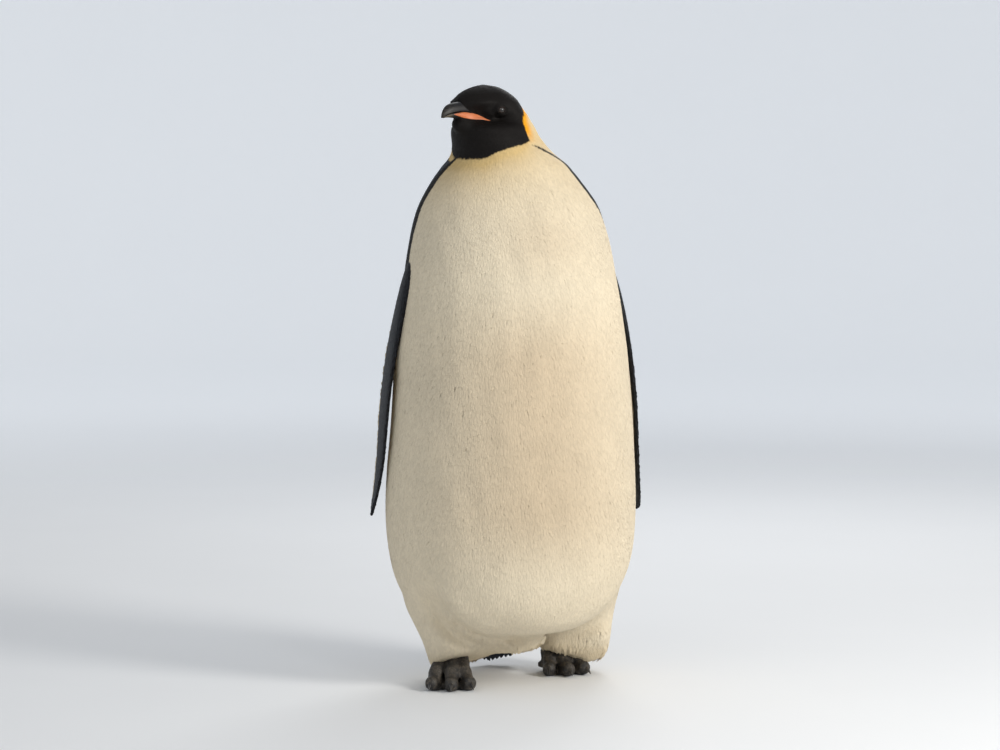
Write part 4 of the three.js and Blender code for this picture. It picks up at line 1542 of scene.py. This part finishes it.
def grow_feathers(surface, depth, spacing, wanted, kind, rng):
    """Feathers over a surface, laid along it, with their markings."""
    roots, corners, weights = scatter(surface, spacing, wanted, kind, rng)
    normals = surface.normals()
    polygons = np.concatenate([surface.quads, np.pad(surface.triangles, ((0, 0), (0, 1)), "edge")])
    face_up = unit(normals[polygons].sum(1))
    tree = surface.tree()
    up = unit(np.einsum("nk,nkx->nx", weights, normals[corners]))
    deep = np.einsum("nk,nk->n", weights, depth[corners])
    gap = np.einsum("nk,nk->n", weights, spacing[corners])
    count = len(roots)
    flow = along_surface(lie_of_coat(roots, kind), up)
    aside = np.cross(up, flow)
    flow = unit(flow + aside * rng.normal(0, 0.07, (count, 1)))
    shaggy = shaggy_share(roots, kind) * smoothstep(up[:, 2], -0.75, -0.25)
    apart = gap * stretch_at(roots[:, 2], kind)
    length = apart * LENGTH_TO_SPACING * rng.uniform(0.88, 1.12, count)
    length *= 1 + shaggy**2 * rng.uniform(0.3, 2.5, count)
    halfway, halfway_up = followed(tree, face_up, roots + flow * (length / 2)[:, None])
    onward = along_surface(flow, halfway_up)
    straight = halfway + onward * (length / 2)[:, None]
    end, end_up = followed(tree, face_up, straight)
    hang = (shaggy * rng.uniform(0.4, 1.0, count))[:, None]
    end = end * (1 - hang) + (straight - np.array(UP) * HANG_DROP) * hang
    roll = rng.normal(0, 0.035, count)
    high = np.maximum(deep, 0.4) * 0.92 + rng.normal(0, 0.09, count)
    return Feathers(
        root=roots, root_up=up, halfway=halfway, halfway_up=halfway_up, end=end, end_up=end_up,
        roll=roll, width=gap * WIDTH_TO_SPACING * (1 - 0.4 * shaggy),
        low=np.maximum(deep * 0.4, 0.1) * MM, high=high * MM,
        shade=rng.random(count), ragged=rng.normal(0, 0.35, count) * MM,
    )


def shaggy_share(points, kind):
    """How far feathers hang loose: on the trousers and the skirt under the belly."""
    if kind == "flipper":
        return np.zeros(len(points))
    return fade(points[:, 2], 0.035, 0.10)


# ---- Coat: which feathers go in which piece, and their unwrap ----

BELLY_TURN = 0.30  # below this height the unwrap follows the curve of the belly
BELLY_RADIUS = 0.22


def unrolled(feathers):
    """Bearing from the chest and distance up along the body, for the unwrap."""
    _, radius = chest_bearing(feathers.root)
    height = feathers.root[:, 2]
    under = BELLY_TURN - BELLY_RADIUS * np.arctan2(BELLY_TURN - height, radius * MM)
    rise = np.where(height > BELLY_TURN, height, under)
    head = to_head(feathers.root)
    crown = SKULL.z + 0.06 * np.arctan2(head[:, 2], np.hypot(head[:, 0], head[:, 1]))
    rise = np.where(height > SKULL.z, crown, rise)
    return bearing_either_side(feathers.root), rise


def fitted(across, up):
    """Two measures scaled to fill the map, clear of its border."""
    pair = np.stack([across, up], 1)
    low, high = pair.min(0), pair.max(0)
    return 0.01 + 0.98 * (pair - low) / (high - low)


# The coat's pieces from the top down: name, the height where it ends below, and its slots in
# front and behind, or one slot where it goes all round.
COAT_PIECES = (
    ("hood", 0.955, ["black_feather"]),
    ("neck", 0.86, ["pale_feather"]),
    ("upper", 0.62, ["white_feather", "slate_feather"]),
    ("middle", 0.40, ["white_feather", "slate_feather"]),
    ("lower", 0.20, ["white_feather", "slate_feather"]),
    ("skirt", -1, ["white_feather", "slate_feather"]),
)


def body_pieces(feathers):
    """Names, slots and members of the coat's pieces on the head, neck, trunk and legs."""
    height = feathers.root[:, 2]
    front = np.abs(bearing_either_side(feathers.root)) < 90
    top = 2.0
    for name, bottom, slots in COAT_PIECES:
        inside = (height >= bottom) & (height < top)
        top = bottom
        if len(slots) == 1:
            yield f"coat_{name}", slots[0], inside
        else:
            yield f"coat_{name}_front", slots[0], inside & front
            yield f"coat_{name}_back", slots[1], inside & ~front


DEEPEST = 0.02  # no root lies deeper than this inside a neighbouring node


def clear_of(points, nodes, margin):
    """Whether points stand outside some CAD nodes by a margin."""
    clear = np.ones(len(points), bool)
    tree, _ = node_tree(nodes)
    for i, point in enumerate(points):
        distance = tree.find_nearest(Vector(point))[3]
        if distance < DEEPEST:
            clear[i] = distance > margin and not within(tree, Vector(point), RAY_STEP * MM)
    return clear


SKIN_NODES = ["head", "neck", "trunk", "tail"]
SKIN_NODES += [f"{part}_{side}" for part in ("leg", "flipper", "foot") for side in SIDES]
FACE_REACH = 26 * MM  # feathers stand closer this near to an eye
FLIPPER_FACES_APART = 0.12  # between the flipper's two faces on the unwrap
SKIN_MATERIALS = (skin_material, foot_material, lid_material)
OF_LID = 2


def bare_skin(body, head, from_eye):
    """Where no feather is rooted: on the lids, in the mouth, under horn, quills and trousers."""
    middle, tall, _ = plate_outline(np.clip(head[:, 0], PLATE_ROOT, PLATE_END))
    beside = (head[:, 0] > PLATE_ROOT - 1) & (head[:, 0] < PLATE_END) & (np.abs(head[:, 1]) < 40)
    height = body.vertices[:, 2]
    bare = inside_jaws(head)
    bare |= beside & (np.abs(head[:, 2] - middle) < tall + 1.2)
    bare |= from_eye < BARE_RADIUS
    bare |= (tail_share(body.vertices) > 0.5) & (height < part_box("tail")[1].z - 22 * MM)
    bare |= (height < 0.020) & (body.normals()[:, 2] < -0.6)
    return bare


def body_feathers(body, depth, spacing, coarser, rng):
    """Feathers of the body that keep clear of the flippers and the eyes."""
    from_eye = from_eyes(body.vertices)
    bare = bare_skin(body, to_head(body.vertices), from_eye)
    spacing = spacing * MM * coarser
    on_face = (1.7 + 0.8 * smoothstep(from_eye, 10 * MM, FACE_REACH)) * MM * coarser
    spacing = np.where(from_eye < FACE_REACH, np.minimum(spacing, on_face), spacing)
    feathers = grow_feathers(body, depth, spacing, ~bare, "body", rng)
    tips = feathers.root + feathers.root_up * feathers.high[:, None]
    outside = clear_of(tips, [f"flipper_{side}" for side in SIDES], 0)
    ends = (feathers.root, feathers.halfway, feathers.end)
    from_pupil = np.min([eye_axis_distance(places) for places in ends], 0)
    return feathers.where(outside & (from_pupil > LID_OPENING + 1.2))


def make_body_coat(feathers):
    """One piece for each part of the coat, with short vanes on the hood."""
    for name, slot, members in body_pieces(feathers):
        chosen = feathers.where(members)
        hood = name == "coat_hood"
        stations = SHORT_VANE if hood else LONG_VANE
        piece = feather_piece(name, chosen, stations, fitted(*unrolled(chosen)))
        finished(piece, PLUMAGE_DARK if hood else PLUMAGE, slot)


def make_flipper_coat(side, flipper, coarser, rng):
    """Small tight feathers over a flipper, except where it lies against the trunk."""
    depth = np.full(flipper.count, FLIPPER_DEPTH)
    spacing = np.full(flipper.count, FLIPPER_SPACING * MM * coarser)
    everywhere = np.ones(flipper.count, bool)
    feathers = grow_feathers(flipper, depth, spacing, everywhere, "flipper", rng)
    feathers = feathers.where(clear_of(feathers.root, ["trunk"], 1.0 * MM))
    outer = feathers.root_up[:, 0] * SIDES[side] > 0
    aside = feathers.root[:, 1] + np.where(outer, 0.0, FLIPPER_FACES_APART)
    spot = fitted(aside, feathers.root[:, 2])
    piece = feather_piece(f"coat_flipper_{side}", feathers, SHORT_VANE, spot, "flipper")
    finished(piece, PLUMAGE_TIGHT, "slate_feather")


def make_skin_and_coat():
    """The skin with its coat. Gives the body's skin as a search tree, for the bill to lie on."""
    rng = np.random.default_rng(11)
    coarser = 1.0
    body, depth, spacing = finer_near_eyes(*sunk_body())
    shape_lids(body.vertices)
    make_body_coat(body_feathers(body, depth, spacing, coarser, rng))
    parts = [(body, "body")]
    for side in SIDES:
        flipper = flipper_surface(side)
        make_flipper_coat(side, flipper, coarser, rng)
        parts.append((flipper, "flipper"))
    parts += [(foot_surface(side), "foot") for side in SIDES]
    make_skin(parts)
    return body.tree()


def make_skin(parts):
    """Joins surfaces, each with its kind, as one skin with the coat's markings."""
    firsts = np.cumsum([0] + [surface.count for surface, _ in parts])
    vertices = np.concatenate([surface.vertices for surface, _ in parts])
    quads = np.concatenate([part[0].quads + first for part, first in zip(parts, firsts)])
    triangles = np.concatenate([part[0].triangles + first for part, first in zip(parts, firsts)])
    skin = mesh_object("skin", vertices, [quads, triangles])
    shares = [markings(surface.vertices, surface.normals(), kind) for surface, kind in parts]
    for marking in shares[0]:
        put_values(skin, marking, np.concatenate([share[marking] for share in shares]))
    cover, *others = [make() for make in SKIN_MATERIALS]
    finished(skin, cover, "white_feather", *SKIN_NODES)
    for material in others:
        skin.data.materials.append(material)
    middles = np.empty(len(skin.data.polygons) * 3, np.float32)
    skin.data.polygons.foreach_get("center", middles)
    of_foot = [np.full(len(surface.quads), kind == "foot") for surface, kind in parts]
    index = np.concatenate([*of_foot, np.zeros(len(triangles), bool)]).astype(np.int32)
    index[from_eyes(middles.reshape(-1, 3)) < EYE_RADIUS + 1.6 * MM] = OF_LID
    skin.data.polygons.foreach_set("material_index", index)


# ---- Tail: stiff pointed quills over its wedge ----

QUILL = [(0.0, 0.0), (0.06, 0.55), (0.3, 0.95), (0.6, 1.0), (0.85, 0.8), (0.95, 0.5), (1.0, 0.0)]
QUILL_LAYERS = {1: 13, -1: 12}  # number of quills above and below the tail
QUILL_WIDTH = 14.5 * MM
TAIL_SLOPE = math.radians(62)  # how far the tail points down from level
TAIL_REACH, TAIL_ROUNDING = 64 * MM, 10 * MM  # half length in the middle, and what the sides lack
TAIL_SPREAD, TAIL_FAN = 36 * MM, 10 * MM  # half width at the roots, and what the tips add


def make_tail():
    """Two layers of quills fanned over the tail's solid."""
    low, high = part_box("tail")
    centre = (np.array(low) + np.array(high)) / 2
    tree, _ = node_tree(["tail"])
    rng = np.random.default_rng(23)
    lean = np.array([0, math.cos(TAIL_SLOPE), -math.sin(TAIL_SLOPE)])
    columns = {key: [] for key in ("root", "halfway", "end", "root_up", "halfway_up", "end_up")}
    for sign, number in QUILL_LAYERS.items():
        out = np.array([0, -lean[2], lean[1]]) * sign
        for fan in np.linspace(-1, 1, number):
            reach = TAIL_REACH - TAIL_ROUNDING * fan**2
            for key, share in (("root", -1), ("halfway", 0), ("end", 1)):
                spread = TAIL_SPREAD + TAIL_FAN * (share + 1) / 2
                start = centre + lean * share * reach + np.array([fan * spread, 0, 0])
                place, normal, _, _ = tree.find_nearest(Vector(start + out * 30 * MM))
                up = np.array(normal)
                if up @ out < 0.3:
                    up = out
                columns[key].append(np.array(place))
                columns[f"{key}_up"].append(unit(0.5 * up + 0.5 * out))
    arrays = {key: np.array(value) for key, value in columns.items()}
    count = len(arrays["root"])
    quills = Feathers(
        **arrays, roll=rng.normal(0, 0.05, count), width=np.full(count, QUILL_WIDTH),
        low=np.full(count, 0.4 * MM), high=rng.uniform(1.2, 2.6, count) * MM,
        shade=rng.random(count), ragged=np.zeros(count),
    )
    spot = np.stack([np.linspace(0.05, 0.95, count), np.full(count, 0.5)], 1)
    piece = feather_piece("tail_quills", quills, QUILL, spot, "tail")
    finished(piece, PLUMAGE_TIGHT, "slate_feather")


# ---- Stage, camera and light ----

CAMERA_DISTANCE = 6.0
CAMERA_HEIGHT = 1.0
CAMERA_PITCH = math.radians(4.41)
CAMERA_ASIDE = 0.0191
FOCAL_LENGTH = 124.4  # mm on a 36 mm wide sensor


def make_camera():
    """A long lens, level with the head and tipped down a little."""
    data = bpy.data.cameras.new("camera")
    data.lens = FOCAL_LENGTH
    data.sensor_width = 36
    data.clip_end = 50
    camera = bpy.data.objects.new("camera", data)
    bpy.context.scene.collection.objects.link(camera)
    camera.location = AXIS + FRONT * CAMERA_DISTANCE - ACROSS * CAMERA_ASIDE + UP * CAMERA_HEIGHT
    forward = -FRONT * math.cos(CAMERA_PITCH) - UP * math.sin(CAMERA_PITCH)
    camera.rotation_euler = forward.to_track_quat("-Z", "Y").to_euler()
    bpy.context.scene.camera = camera


FLOOR_REACH, FLOOR_BEND, WALL_TOP, FLOOR_SIDES = 7.5, 1.5, 3.2, 96  # metres, and sides round
# Tint and strength of the painted glow that the floor gives off far out, though it is no lamp.
PAINTED_GLOW_TINT = color(0.86, 0.92, 1.0)
PAINTED_GLOW_STRENGTH = 0.34


def make_floor():
    """A round pale floor that bends up into a low wall on every side."""
    bend = np.linspace(0, math.pi / 2, 16)
    wall = FLOOR_REACH + FLOOR_BEND
    far = np.concatenate([[0.5, 2, 5], FLOOR_REACH + FLOOR_BEND * np.sin(bend), [wall]])
    up = np.concatenate([[0, 0, 0], FLOOR_BEND * (1 - np.cos(bend)), [WALL_TOP]])
    turn = around(FLOOR_SIDES)
    level = np.stack([np.cos(turn), np.sin(turn), np.zeros(FLOOR_SIDES)], 1)
    rings = np.array(AXIS) + far[:, None, None] * level + up[:, None, None] * np.array(UP)
    quads, fans = tube_faces(len(far), FLOOR_SIDES)
    vertices = np.concatenate([rings.reshape(-1, 3), [np.array(AXIS)]])
    sweep = mesh_object("studio_sweep", vertices, [quads, fans[:FLOOR_SIDES]])
    sweep.data.materials.append(floor_material())


def floor_material():
    """Pale grey that the camera and mirrors see fade into a painted pale glow further out; the floor
    glows there though it is no lamp.
    """
    material, tree, shader = principled("studio sweep", 0.9, {"Emission Strength": PAINTED_GLOW_STRENGTH})
    place = own_place(tree)
    grain = noise(tree, place, 3.0)
    surfaced(tree, shader, mix_colors(tree, grain, color(0.80, 0.81, 0.82), color(0.82, 0.83, 0.84)))
    rays = add_node(tree, "ShaderNodeLightPath").outputs
    # Painted glow: only camera rays and mirror rays see the floor glow, more so further out.
    seen = calculate(tree, "MAXIMUM", rays["Is Camera Ray"], rays["Is Glossy Ray"])
    away = add_node(tree, "ShaderNodeVectorMath", {0: place}, operation="LENGTH").outputs["Value"]
    share = calculate(tree, "MULTIPLY", seen, remap(tree, away, 1.2, 6.0))
    painted_glow = mix_colors(tree, share, color(0.0, 0.0, 0.0), PAINTED_GLOW_TINT)
    tree.links.new(painted_glow, shader.inputs["Emission Color"])
    return material


def make_world():
    world = bpy.data.worlds.new("studio")
    world.use_nodes = True
    bpy.context.scene.world = world
    background = world.node_tree.nodes["Background"]
    background.inputs["Color"].default_value = color(0.93, 0.96, 1.0)
    background.inputs["Strength"].default_value = 0.5


CHEST = AXIS + UP * 0.55
# Each lamp: its place as metres in front of, across from and above a point, that point, what it
# faces, the size of its disk in metres, its power in watts and its tint.
LAMPS = {
    "key": ((1.9, 2.7, 1.7), AXIS, CHEST, 1.1, 84, (1.0, 0.97, 0.92)),
    "fill": ((2.8, -2.0, 1.2), AXIS, CHEST, 1.8, 9, (0.86, 0.93, 1.0)),
    "back": ((-2.4, 0.6, 2.4), AXIS, CHEST, 1.5, 30, (1.0, 1.0, 1.0)),
    "catchlight": ((1.6, 0.55, 0.8), SKULL, SKULL, 0.3, 3, (1.0, 1.0, 1.0)),
}


def make_lamps():
    for name, ((front, across, up), start, aim, size, power, tint) in LAMPS.items():
        data = bpy.data.lights.new(name, "AREA")
        data.shape = "DISK"
        data.size = size
        data.energy = power
        data.color = tint
        lamp = bpy.data.objects.new(name, data)
        bpy.context.scene.collection.objects.link(lamp)
        lamp.location = start + FRONT * front + ACROSS * across + UP * up
        lamp.rotation_euler = (aim - lamp.location).to_track_quat("-Z", "Y").to_euler()


bpy.context.scene.view_settings.view_transform = "Standard"
make_camera()
make_floor()
make_world()
make_lamps()
skin_tree = make_skin_and_coat()
make_bill(skin_tree)
make_eyes()
make_claws()
make_tail()
